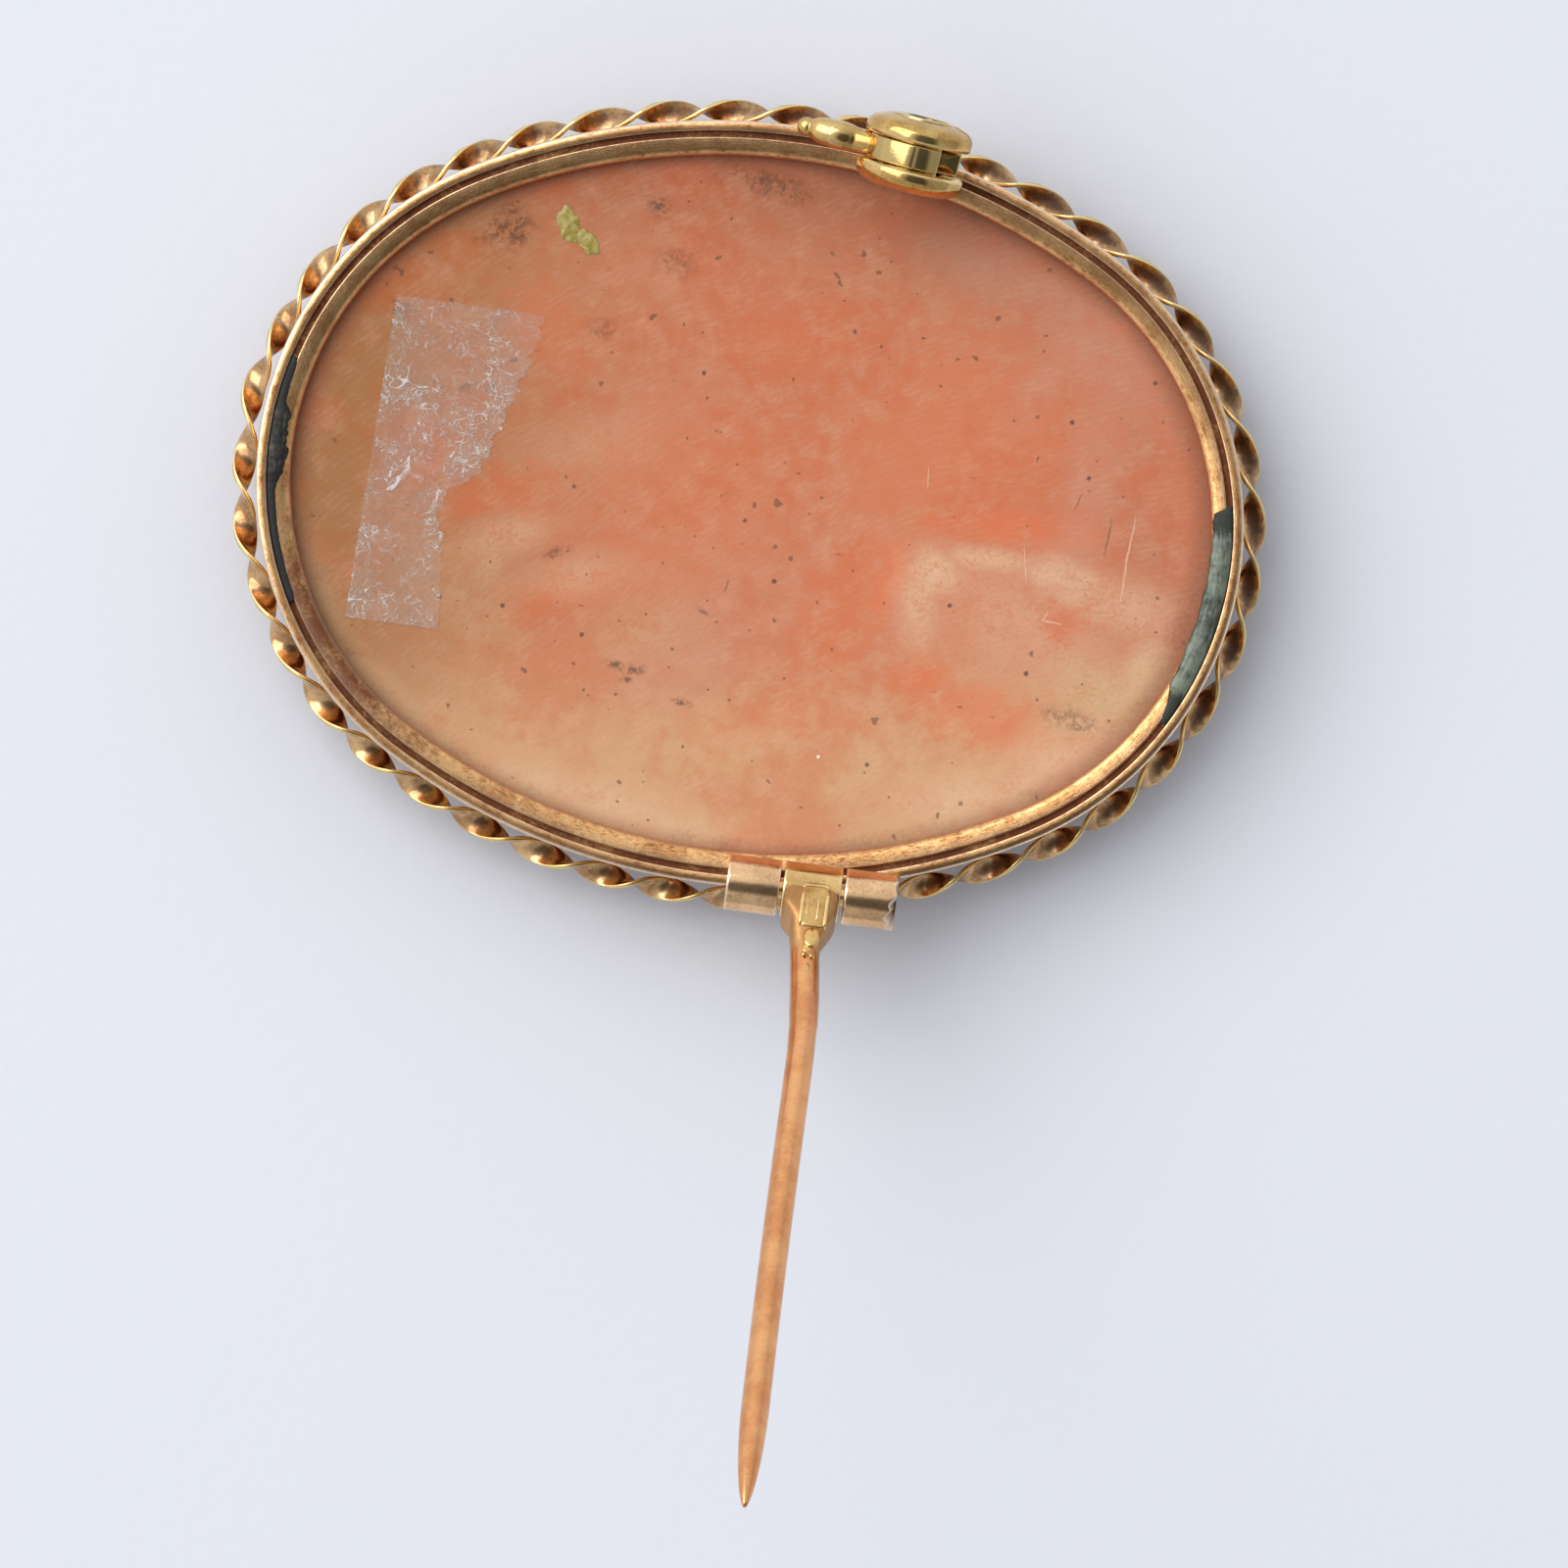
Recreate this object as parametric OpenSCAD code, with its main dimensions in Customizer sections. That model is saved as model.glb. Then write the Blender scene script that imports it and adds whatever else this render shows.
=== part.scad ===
// Oval cameo brooch lying on its carved face, with its back, open pin and catch upwards.
// The origin is the highest point of the carving. X runs along the oval, Y across it, Z to the back.

/* [Oval band] */
// Length of the outer band, over all
band_l = 40.5; // [36:0.5:46]
// Width of the outer band, over all
band_w = 31.19; // [28:0.01:35]
// Thickness of the band's wall
band_t = 0.44; // [0.4:0.02:0.7]
// Height of the band from its front edge to its back rim
band_h = 3.4; // [3:0.1:5]
// Height of the band's front edge above the highest carving
band_front = 2; // [1.9:0.1:2.6]
// Width of the groove between band and bezel
groove_w = 0.25; // [0.2:0.01:0.4]
// Depth of that groove
groove_depth = 0.9; // [0.5:0.1:1.2]
// Width of the inner bezel's flat back
bezel_w = 0.75; // [0.6:0.01:1.1]
// How far the bezel's back lies below the band's rim
bezel_drop = 0.1; // [0.05:0.01:0.3]
// Thickness of the bezel's ledge behind the shell
ledge_t = 0.65; // [0.5:0.01:0.8]
// How far the ledge reaches over the shell's edge
ledge_reach = 0.5; // [0.3:0.05:0.6]
// Thickness of the front lip rubbed over the shell
lip_t = 0.45; // [0.3:0.05:0.5]
// How far the front lip reaches over the shell's edge
lip_reach = 0.4; // [0.2:0.05:0.45]

/* [Cameo shell] */
// Thickness of the shell's edge
shell_edge = 1.6; // [1.4:0.05:1.9]
// Gap between the shell's edge and its seat
shell_gap = 0.05; // [0.02:0.01:0.1]
// Depth of the hollow in the shell's back
back_hollow = 0.85; // [0.2:0.05:1]
// Distance from the floor to the bare ground at the shell's middle
ground_depth = 1.6; // [1.2:0.1:1.8]
// Height of the rose's inner petals above the ground
petal_h = 1.85; // [1.7:0.05:2.2]
// Radius of the rose
rose_r = 8.4; // [7:0.2:10]
// Height of the leaves above the ground
leaf_h = 0.75; // [0.4:0.05:1.1]

/* [Twisted border] */
// Width of the flat ribbon that is twisted
ribbon_w = 0.98; // [0.8:0.02:1.3]
// Thickness of the ribbon
ribbon_t = 0.26; // [0.2:0.02:0.35]
// Gap between the ribbon's edge and the band
ribbon_gap = 0.05; // [0.03:0.01:0.1]
// Half turns of the ribbon round the oval
half_turns = 43; // [31:2:55]
// Height of the ribbon's middle above the band's front edge
ribbon_up = 0.65; // [0.6:0.05:1.5]
// How far the dented stretch is pushed outwards
dent_out = 0.22; // [0:0.01:0.4]

/* [Hinge] */
// Distance of the hinge's middle from the oval's middle
hinge_x = 4.65; // [2:0.05:6]
// How far the hinge's axis lies outside the band
hinge_out = 0.17; // [0:0.01:0.4]
// Turn of the hinge's axis from the oval's length
hinge_yaw = 0.5; // [0:0.1:2]
// Outer radius of the hinge tube
tube_r = 1.15; // [1:0.05:1.4]
// Radius of the hole through the tube
tube_bore_r = 0.43; // [0.35:0.01:0.5]
// Radius of the rivet
rivet_r = 0.4; // [0.33:0.01:0.42]
// Length of each outer knuckle
outer_len = 2.15; // [1.8:0.05:2.6]
// Length of the middle knuckle
middle_len = 2.36; // [2.2:0.02:2.8]
// Gap between neighbouring knuckles
knuckle_gap = 0.15; // [0.08:0.01:0.25]
// Gap between the turning knuckle and the rim under it
tube_lift = 0.05; // [0.03:0.01:0.2]
// Width of the soldered seat under each outer knuckle
seat_w = 1.7; // [1.4:0.1:2.2]

/* [Pin stem] */
// Radius of the pin wire
wire_r = 0.56; // [0.45:0.01:0.65]
// How much thicker the wire's first, leaning stretch is, in radius
neck_extra = 0.04; // [0.03:0.01:0.06]
// Length of the wire's conical point
point_len = 5; // [3:0.5:7]
// Distance from the catch's middle to the tip of the closed pin
tip_past = 1.3; // [0.8:0.1:2]
// Angle of the open pin from the closed side's level
open_angle = 139; // [100:1:150]
// Length of the wire's first, leaning stretch
lean_len = 7; // [5:0.5:9]
// Sideways lean of that stretch
lean_angle = 5.4; // [0:0.2:6]
// Length of the flared root that joins wire and knuckle
root_len = 2.3; // [2:0.1:3]
// Thickness of the flared root
root_t = 1.3; // [1.3:0.05:1.5]
// Width of the soldered tab on the root
tab_w = 1.4; // [1:0.05:1.8]
// Radius of the two solder beads
bead_r = 0.2; // [0.12:0.01:0.3]

/* [Catch] */
// Distance of the catch's middle from the oval's middle
catch_x = 4.77; // [3:0.05:6]
// How far the catch's middle lies inside the band's edge
catch_in = 0.33; // [0:0.01:0.8]
// Height of the catch's middle above the rim
catch_up = 3.3; // [3.2:0.05:4]
// Turn of the catch to follow the rim
catch_yaw = -6.5; // [-10:0.5:0]
// Lean of the catch's top towards the hinge
catch_lean = 6.5; // [3:0.5:9]
// Radius of the two cheeks
cheek_r = 2.25; // [2.1:0.05:2.5]
// Thickness of each cheek
cheek_t = 0.85; // [0.6:0.05:1]
// Space between the cheeks
cheek_space = 1.3; // [1.2:0.05:1.5]
// Radius of the chamber that takes the pin
chamber_r = 0.65; // [0.6:0.05:0.8]
// Radius of the turning ring
ring_r = 1.95; // [1.8:0.05:2.05]
// Radius of the ring's hub, which turns in both cheeks
hub_r = 1.2; // [1.05:0.05:1.3]
// Running clearance round the hub
hub_gap = 0.05; // [0.02:0.01:0.08]
// Side clearance of the ring between the cheeks
ring_gap = 0.05; // [0.03:0.01:0.1]
// How far the hub stands out behind the rear cheek
hub_proud = 0.15; // [0.05:0.05:0.3]
// Angle from the mouth to the upper end of the open ring
ring_open = 54; // [45:1:70]
// Width of the block between cheeks and rim
foot_w = 3; // [2.4:0.1:3.4]
// Distance from the catch's middle to the end of the lever
lever_len = 4.7; // [4.2:0.1:5.4]
// Angle of the resting lever below the level
lever_drop = 10; // [0:1:12]
// Thickness of the lever
lever_t = 1; // [0.8:0.05:1.1]
// Radius of the lever's lobe
lobe_r = 0.72; // [0.6:0.02:0.9]
// Radius of the bead that ends the lever
lever_bead_r = 0.42; // [0.3:0.02:0.5]

/* [Solder repairs] */
// Thickness of the lead over the bezel
lead_t = 0.12; // [0.08:0.01:0.2]
// Gap between the lead and the groove's walls
lead_gap = 0.02; // [0.01:0.01:0.04]

/* [Hidden] */
$fn = 64;

eps = 0.01;
cut_size = 120;

// The oval has four arcs: two round ends and two long sides that meet them without a kink.
// Its middle and the centres of an end and a side make a right triangle with sides of 95, 168 and 193 units,
// and the unit is a whole number of steps, so the arcs meet in the same points wherever they are worked out.
END_LEG = 95;
SIDE_LEG = 168;
LONG_LEG = 193;
unit_step = 0.0001;
half_l = band_l / 2;
leg_unit = unit_step * round((band_l - band_w) / 2 / (END_LEG + SIDE_LEG - LONG_LEG) / unit_step);
end_c = END_LEG * leg_unit;
side_c = SIDE_LEG * leg_unit;
end_r = half_l - end_c;
side_r = end_r + LONG_LEG * leg_unit;
half_w = side_r - side_c;
joint_a = atan2(SIDE_LEG, END_LEG);
end_arc = end_r * joint_a * PI / 180;
side_arc = side_r * (90 - joint_a) * PI / 180;

rim_z = band_front + band_h;
bezel_z = rim_z - bezel_drop;
ledge_z = bezel_z - ledge_t;
groove_z = rim_z - groove_depth;
inner_d = -(band_t + groove_w + bezel_w);
seat_d = inner_d + ledge_reach;
lip_back_z = ledge_z - shell_edge - 2 * shell_gap;
lip_front_z = lip_back_z - lip_t;

hinge_y = -rim_y(hinge_x) - hinge_out;
hinge_z = rim_z + tube_lift + tube_r;
hinge_span = middle_len + 2 * knuckle_gap + 2 * outer_len;
catch_y = rim_y(catch_x) - catch_in;
catch_z = rim_z + catch_up;

// The closed pin points from the hinge's axis to the middle of the catch.
reach_x = (catch_x - hinge_x) * cos(hinge_yaw) + (catch_y - hinge_y) * sin(hinge_yaw);
reach_y = (catch_y - hinge_y) * cos(hinge_yaw) - (catch_x - hinge_x) * sin(hinge_yaw);
reach = norm([reach_y, catch_z - hinge_z]);
knee_x = lean_len * tan(lean_angle);
aim_angle = atan2(reach_x - knee_x, reach - lean_len);
wire_len = norm([reach_x - knee_x, reach - lean_len]) + tip_past - point_len;

catch_half = cheek_space / 2 + cheek_t;
ring_t = cheek_space - 2 * ring_gap;

/* Outline of the band */

// Half the width of the band at the distance x from the middle, on its long sides
function rim_y(x) = sqrt(side_r * side_r - x * x) - side_c;

// A point of the oval that lies d outside the band, where the outline faces the direction a
function oval_at(a, d) =
    let (f = (a % 360 + 360) % 360)
    f <= joint_a || f >= 360 - joint_a ? [end_c + (end_r + d) * cos(f), (end_r + d) * sin(f)]
    : f < 180 - joint_a ? [(side_r + d) * cos(f), (side_r + d) * sin(f) - side_c]
    : f <= 180 + joint_a ? [-end_c + (end_r + d) * cos(f), (end_r + d) * sin(f)]
    : [(side_r + d) * cos(f), (side_r + d) * sin(f) + side_c];

// The direction that the outline faces after the share s, 0 to 1, of its length
function facing(s) =
    let (
        quarter = end_arc + side_arc,
        q = floor(4 * s),
        run = (4 * s - q) * quarter,
        even = q % 2 == 0,
        part = even ? run : quarter - run,
        turn = part < end_arc
            ? joint_a * part / end_arc
            : joint_a + (90 - joint_a) * (part - end_arc) / side_arc
    )
    90 * (even ? q : q + 1) + (even ? turn : -turn);

// The wedge that holds one long side, seen from that side's centre
module side_wedge() {
    far = 8;
    translate([0, 0, -eps])
        linear_extrude(2 * rim_z)
            polygon([
                [0, -side_c],
                [far * end_c, (far - 1) * side_c],
                [-far * end_c, (far - 1) * side_c]
            ]);
}

// Sweeps a flat profile round the oval: its x is the distance outside the band, its y the height
module round_oval() {
    for (half = [0, 180]) {
        rotate([0, 0, half]) {
            difference() {
                translate([end_c, 0, 0])
                    rotate_extrude()
                        translate([end_r, 0])
                            children();
                side_wedge();
                rotate([0, 0, 180])
                    side_wedge();
                translate([-band_l, -band_w, -eps])
                    cube([band_l, 2 * band_w, 2 * rim_z]);
            }
            intersection() {
                translate([0, -side_c, 0])
                    rotate_extrude()
                        translate([side_r, 0])
                            children();
                side_wedge();
            }
        }
    }
}

// Sweeps a flat profile round part of one end; side is 0 for the right end and 180 for the left
module round_end(side, from_a, to_a) {
    rotate([0, 0, side])
        translate([end_c, 0, 0])
            rotate([0, 0, from_a])
                rotate_extrude(angle = to_a - from_a)
                    translate([end_r, 0])
                        children();
}

/* Setting: band, groove, bezel, back ledge and front lip, soldered into one */

module setting() {
    color("goldenrod")
        round_oval()
            polygon([
                [0, band_front], [0, rim_z],
                [-band_t, rim_z], [-band_t, groove_z],
                [-band_t - groove_w, groove_z], [-band_t - groove_w, bezel_z],
                [inner_d, bezel_z], [inner_d, ledge_z],
                [seat_d, ledge_z], [seat_d, lip_back_z],
                [seat_d - lip_reach, lip_back_z], [seat_d - lip_reach, lip_front_z],
                [-band_t, lip_front_z], [-band_t, band_front]
            ]);
}

/* Twisted border: a flat ribbon twisted about a line round the band */

turn_steps = 10;
ribbon_rings = half_turns * turn_steps;
ribbon_reach = norm([ribbon_w, ribbon_t]) / 2;
ribbon_d = ribbon_gap + ribbon_reach;
ribbon_z = band_front + ribbon_up;
ribbon_start = 40;

// Bumps of the dented stretch: direction it faces, spread in degrees, share of dent_out
DENTS = [[172, 5, 1.0], [186, 4, 0.55], [196, 5, 0.7]];
function dent(a) = dent_out * sum_of([for (row = DENTS) row[2] * exp(-pow((a - row[0]) / row[1], 2))]);
function sum_of(v, i = 0) = i < len(v) ? v[i] + sum_of(v, i + 1) : 0;

module rope_border() {
    corners = [
        [ribbon_w / 2, -ribbon_t / 2], [ribbon_w / 2, ribbon_t / 2],
        [-ribbon_w / 2, ribbon_t / 2], [-ribbon_w / 2, -ribbon_t / 2]
    ];
    points = [
        for (i = [0 : ribbon_rings - 1])
            let (
                s = i / ribbon_rings,
                a = facing(s),
                p = oval_at(a, ribbon_d + dent(a)),
                twist = ribbon_start + 180 * half_turns * s
            )
            for (c = corners)
                let (
                    out = c[0] * cos(twist) - c[1] * sin(twist),
                    up = c[0] * sin(twist) + c[1] * cos(twist)
                )
                [p[0] + out * cos(a), p[1] + out * sin(a), ribbon_z + up]
    ];
    // An odd number of half turns brings each corner round to the opposite one.
    faces = [
        for (i = [0 : ribbon_rings - 1])
            let (
                last = i == ribbon_rings - 1,
                j = last ? 0 : i + 1,
                shift = last ? 2 * (half_turns % 2) : 0
            )
            for (k = [0 : 3])
                let (
                    a = 4 * i + k,
                    b = 4 * i + (k + 1) % 4,
                    c = 4 * j + (k + 1 + shift) % 4,
                    d = 4 * j + (k + shift) % 4
                )
                each [[a, b, c], [a, c, d]]
    ];
    color("darkgoldenrod")
        polyhedron(points = points, faces = faces);
}

/* Cameo shell: an oval plate, hollow behind, with a rose, two blossoms and leaves in front */

shell_d = seat_d - shell_gap;
shell_back_z = ledge_z - shell_gap;
shell_front_z = shell_back_z - shell_edge;
shell_l = half_l + shell_d;
shell_w = half_w + shell_d;
shell_spokes = 96;
front_rings = 26;
back_rings = 6;
heart_r = 2.6;
heart_flat = 1.5;
carve_slope = 1.1;
carved_share = 0.93;
seat_share = 0.95;
petal_count = 5;
petal_side = 0.8;
petal_root = 0.72;
inner_share = 0.7;
outer_low = 0.66;
inner_phase = 18;
outer_phase = 54;
blossom_high = 1.2;
leaf_flank = 0.35;
midrib = 0.75;
rib_sharp = 4;

// Blossoms: x and y of the middle as shares of the shell, radius as a share of the rose's
BLOSSOMS = [[0.67, -0.1, 0.38], [-0.67, 0.1, 0.38]];
// Leaves: x and y of the middle as shares of the shell, direction, half length and half width
// as shares of the rose's radius
LEAVES = [
    [0.40, 0.50, 32, 0.52, 0.21], [0.44, -0.52, -30, 0.50, 0.20],
    [-0.40, -0.50, 212, 0.52, 0.21], [-0.44, 0.52, 150, 0.50, 0.20],
    [0.10, 0.70, 88, 0.34, 0.17], [-0.10, -0.70, 268, 0.34, 0.17],
    [0.72, 0.24, 62, 0.34, 0.15], [-0.72, -0.24, 242, 0.34, 0.15]
];

// Rises softly from 0 to 1 as x goes from 0 to 1
function soft(x) = let (t = max(0, min(1, x))) t * t * (3 - 2 * t);

// Height of a ring of cupped petals at the distance r and direction a from its middle
function petals(radius, height, phase, r, a) =
    let (
        middle = abs(cos(petal_count / 2 * (a - phase))),
        edge = radius * (petal_side + (1 - petal_side) * sqrt(middle)),
        u = min(1, r / edge),
        cup = (petal_root + (1 - petal_root) * u) * (petal_side + (1 - petal_side) * middle)
    )
    height * cup * soft((edge - r) / carve_slope);

// Height of a pointed leaf with a sunk midrib
function leaf(x, y, row) =
    let (
        dx = x - row[0] * shell_l,
        dy = y - row[1] * shell_w,
        along = (dx * cos(row[2]) + dy * sin(row[2])) / (row[3] * rose_r),
        across = (dy * cos(row[2]) - dx * sin(row[2])) / (row[4] * rose_r),
        room = 1 - along * along
    )
    leaf_h * soft((room - abs(across)) / leaf_flank)
        * (midrib + (1 - midrib) * min(1, rib_sharp * abs(across)));

// Height of the carving above the ground
function carving(x, y) =
    let (
        r = norm([x, y]),
        a = atan2(y, x),
        heart = petal_h * soft((heart_r - r) / (heart_r - heart_flat)),
        inner = petals(inner_share * rose_r, petal_h, inner_phase, r, a),
        outer = petals(rose_r, outer_low * petal_h, outer_phase, r, a),
        blossoms = [
            for (row = BLOSSOMS)
                let (bx = x - row[0] * shell_l, by = y - row[1] * shell_w)
                petals(row[2] * rose_r, blossom_high * leaf_h, inner_phase, norm([bx, by]), atan2(by, bx))
        ],
        leaves = [for (row = LEAVES) leaf(x, y, row)]
    )
    max(heart, inner, outer, max(blossoms), max(leaves));

// Height of the shell's front, flat under the lip, with the carving cut flat where it would pass the floor
function front_z(x, y, u) =
    let (
        rise = min(1, u / seat_share),
        ground = ground_depth + (shell_front_z - ground_depth) * rise * rise
    )
    max(0, ground - (u < carved_share ? carving(x, y) : 0));

module cameo_shell() {
    outline = [for (k = [0 : shell_spokes - 1]) oval_at(facing(k / shell_spokes), shell_d)];
    front = [
        for (i = [1 : front_rings])
            let (u = i / front_rings)
            for (p = outline)
                [u * p[0], u * p[1], front_z(u * p[0], u * p[1], u)]
    ];
    back = [
        for (i = [1 : back_rings])
            let (u = i / back_rings)
            for (p = outline)
                [u * p[0], u * p[1], shell_back_z - back_hollow * (1 - u * u)]
    ];
    n = shell_spokes;
    back_start = n * front_rings;
    front_pole = back_start + n * back_rings;
    back_pole = front_pole + 1;
    front_rim = n * (front_rings - 1);
    back_rim = back_start + n * (back_rings - 1);
    faces = [
        for (k = [0 : n - 1])
            let (m = (k + 1) % n)
            each concat(
                [[front_pole, k, m], [back_pole, back_start + m, back_start + k]],
                [for (i = [0 : front_rings - 2]) each [
                    [n * i + k, n * (i + 1) + k, n * (i + 1) + m],
                    [n * i + k, n * (i + 1) + m, n * i + m]
                ]],
                [for (i = [0 : back_rings - 2]) each [
                    [back_start + n * i + k, back_start + n * (i + 1) + m, back_start + n * (i + 1) + k],
                    [back_start + n * i + k, back_start + n * i + m, back_start + n * (i + 1) + m]
                ]],
                [[front_rim + k, back_rim + k, back_rim + m], [front_rim + k, back_rim + m, front_rim + m]]
            )
    ];
    color("sandybrown")
        polyhedron(
            points = concat(front, back, [[0, 0, front_z(0, 0, 0)], [0, 0, shell_back_z - back_hollow]]),
            faces = faces
        );
}

/* Hinge: two soldered knuckles, a turning one between them, and a rivet */

// Places its children at the hinge's middle, with X along the axis
module at_hinge() {
    translate([hinge_x, hinge_y, hinge_z])
        rotate([0, 0, hinge_yaw])
            children();
}

// A round bar along X, centred
module bar(r, len) {
    rotate([0, 90, 0])
        cylinder(r = r, h = len, center = true);
}

module hinge_knuckles() {
    middle_x = (middle_len + outer_len) / 2 + knuckle_gap;
    tear = 0.5;
    seat_h = hinge_z - rim_z;
    color("rosybrown")
        at_hinge()
            for (side = [-1, 1]) {
                difference() {
                    translate([side * middle_x, 0, 0]) {
                        bar(tube_r, outer_len);
                        translate([-outer_len / 2, -seat_w / 2, -seat_h])
                            cube([outer_len, seat_w, seat_h]);
                    }
                    translate([side * middle_x, 0, 0])
                        bar(tube_bore_r, outer_len + 2 * eps);
                    if (side > 0) {
                        // The outer end of the right knuckle is torn open on its outer side.
                        translate([hinge_span / 2, -tube_r, -tube_r])
                            rotate([0, 0, 45])
                                cube([tear, tear, 2 * tube_r], center = true);
                    }
                }
            }
}

module hinge_rivet() {
    recess = 0.1;
    color("tan")
        at_hinge()
            bar(rivet_r, hinge_span - 2 * recess);
}

/* Pin: turning knuckle, flared root, soldered tab, beads and pointed wire in one */

// The wire from the root to its point, with Y along the closed pin
module wire() {
    lap = 0.1;
    tip_r = wire_r / 12;
    rotate([0, 0, -lean_angle])
        rotate([-90, 0, 0])
            cylinder(r = wire_r + neck_extra, h = lean_len / cos(lean_angle));
    translate([knee_x, lean_len, 0])
        rotate([0, 0, -aim_angle])
            rotate([-90, 0, 0])
                rotate_extrude()
                    polygon([
                        [0, -lap], [wire_r, -lap], [wire_r, wire_len],
                        [tip_r, wire_len + point_len], [0, wire_len + point_len]
                    ]);
}

module pin_stem() {
    tab_t = 0.25;
    blob_r = 0.48;
    blob_sink = 0.1;
    bead_sink = 0.05;
    bead_apart = 0.52;
    bead_back = 1.2;
    bead_shift = 0.1;
    flank = 0.2;
    taper_len = 0.8;
    root_end = tube_r + root_len;
    face_z = -root_t / 2;
    color("peru")
        at_hinge()
            rotate([open_angle, 0, 0])
                difference() {
                    union() {
                        bar(tube_r, middle_len);
                        translate([0, 0, face_z])
                            linear_extrude(root_t)
                                polygon([
                                    [-middle_len / 2, 0], [middle_len / 2, 0],
                                    [middle_len / 2, tube_r],
                                    [wire_r + flank, root_end - taper_len],
                                    [wire_r + flank, root_end],
                                    [-wire_r + flank, root_end], [-middle_len / 2, tube_r + flank]
                                ]);
                        translate([-tab_w / 2, tube_bore_r + flank, face_z - tab_t])
                            cube([tab_w, tube_r, root_t / 2]);
                        translate([0, tube_r + blob_r, face_z + blob_sink])
                            sphere(r = blob_r);
                        for (side = [-1, 1])
                            translate([
                                bead_shift + side * bead_apart / 2, root_end - bead_back, face_z - bead_sink
                            ])
                                sphere(r = bead_r);
                        wire();
                    }
                    bar(tube_bore_r, middle_len + 2 * eps);
                }
}

/* Catch: a housing of two cheeks with a side mouth, and a ring that turns to shut it */

// Places its children at the middle of the chamber, with Y along the chamber
module at_catch() {
    translate([catch_x, catch_y, catch_z])
        rotate([0, 0, catch_yaw])
            rotate([catch_lean, 0, 0])
                children();
}

// A round disc about the chamber's axis, from y0 to y1
module disc(r, y0, y1) {
    translate([0, y1, 0])
        rotate([90, 0, 0])
            cylinder(r = r, h = y1 - y0);
}

// The way in from the right, as high as the chamber
module mouth() {
    translate([0, -2 * catch_half, -chamber_r])
        cube([2 * cheek_r, 4 * catch_half, 2 * chamber_r]);
}

module catch_body() {
    flank_x = sqrt(cheek_r * cheek_r - chamber_r * chamber_r);
    hub_hole_r = hub_r + hub_gap;
    ring_room = ring_r + 2 * ring_gap;
    foot_top = 1.6;
    color("gold")
        difference() {
            at_catch()
                difference() {
                    union() {
                        disc(cheek_r, -catch_half, -cheek_space / 2);
                        disc(cheek_r, cheek_space / 2, catch_half);
                        translate([-foot_w / 2, -catch_half, -catch_up - cheek_r])
                            cube([foot_w, 2 * catch_half, catch_up + cheek_r - foot_top]);
                    }
                    disc(ring_room, -cheek_space / 2, cheek_space / 2);
                    disc(hub_hole_r, -2 * catch_half, 2 * catch_half);
                    mouth();
                    translate([flank_x, -2 * catch_half, -cheek_r])
                        cube([cheek_r, 4 * catch_half, 2 * cheek_r]);
                }
            translate([-cut_size / 2, -cut_size / 2, rim_z - cut_size])
                cube(cut_size);
        }
}

module catch_ring() {
    lobe_lap = 0.05;
    bead_x = lever_len - lever_bead_r;
    lobe_x = bead_x - lobe_r + lobe_lap;
    neck_h = 0.8;
    color("khaki")
        at_catch()
            difference() {
                union() {
                    difference() {
                        disc(ring_r, -ring_t / 2, ring_t / 2);
                        translate([0, ring_t, 0])
                            rotate([90, 0, 0])
                                linear_extrude(2 * ring_t)
                                    polygon([
                                        [0, 0], [0, -chamber_r], [cheek_r, -chamber_r],
                                        [2 * cheek_r, 0], [2 * cheek_r, 2 * cheek_r * sin(ring_open)],
                                        [2 * cheek_r * cos(ring_open), 2 * cheek_r * sin(ring_open)]
                                    ]);
                    }
                    disc(hub_r, -catch_half, catch_half + hub_proud);
                    rotate([0, -lever_drop, 0]) {
                        translate([-lobe_x, -lever_t / 2, -neck_h / 2])
                            cube([lobe_x - hub_r, lever_t, neck_h]);
                        translate([-lobe_x, 0, 0])
                            disc(lobe_r, -lever_t / 2, lever_t / 2);
                        translate([-bead_x, 0, 0])
                            disc(lever_bead_r, -lever_t / 2, lever_t / 2);
                    }
                }
                disc(chamber_r + hub_gap, -3 * catch_half, 3 * catch_half);
                translate([0, -3 * catch_half, -chamber_r])
                    cube([2 * cheek_r, 6 * catch_half, 2 * chamber_r]);
            }
}

/* Lead solder of two old repairs, lying in the groove and over the bezel */

// Profile of lead that fills the groove and laps over the bezel as far as lap
module lead_profile(lap) {
    polygon([
        [-band_t - lead_gap, groove_z], [-band_t - lead_gap, bezel_z + lead_t],
        [-band_t - groove_w - lap, bezel_z + lead_t], [-band_t - groove_w - lap, bezel_z],
        [-band_t - groove_w + lead_gap, bezel_z], [-band_t - groove_w + lead_gap, groove_z]
    ]);
}

// Stretches of lead along each end: first and last angle, share of the bezel that is covered
LEAD_LEFT = [[-3, 8, 1], [-3, 29, 1 / 6]];
LEAD_RIGHT = [[-20, 1, 1], [-20, 9, 1 / 4]];

// side is 0 for the right end and 180 for the left
module lead_patch(side, stretches) {
    for (row = stretches)
        round_end(side, row[0], row[1])
            lead_profile(row[2] * bezel_w);
}

module lead_patch_left() {
    color("dimgray")
        lead_patch(180, LEAD_LEFT);
}

module lead_patch_right() {
    color("slategray")
        lead_patch(0, LEAD_RIGHT);
}

setting();
rope_border();
cameo_shell();
hinge_knuckles();
hinge_rivet();
pin_stem();
catch_body();
catch_ring();
lead_patch_left();
lead_patch_right();
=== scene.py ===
import functools
import math

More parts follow.
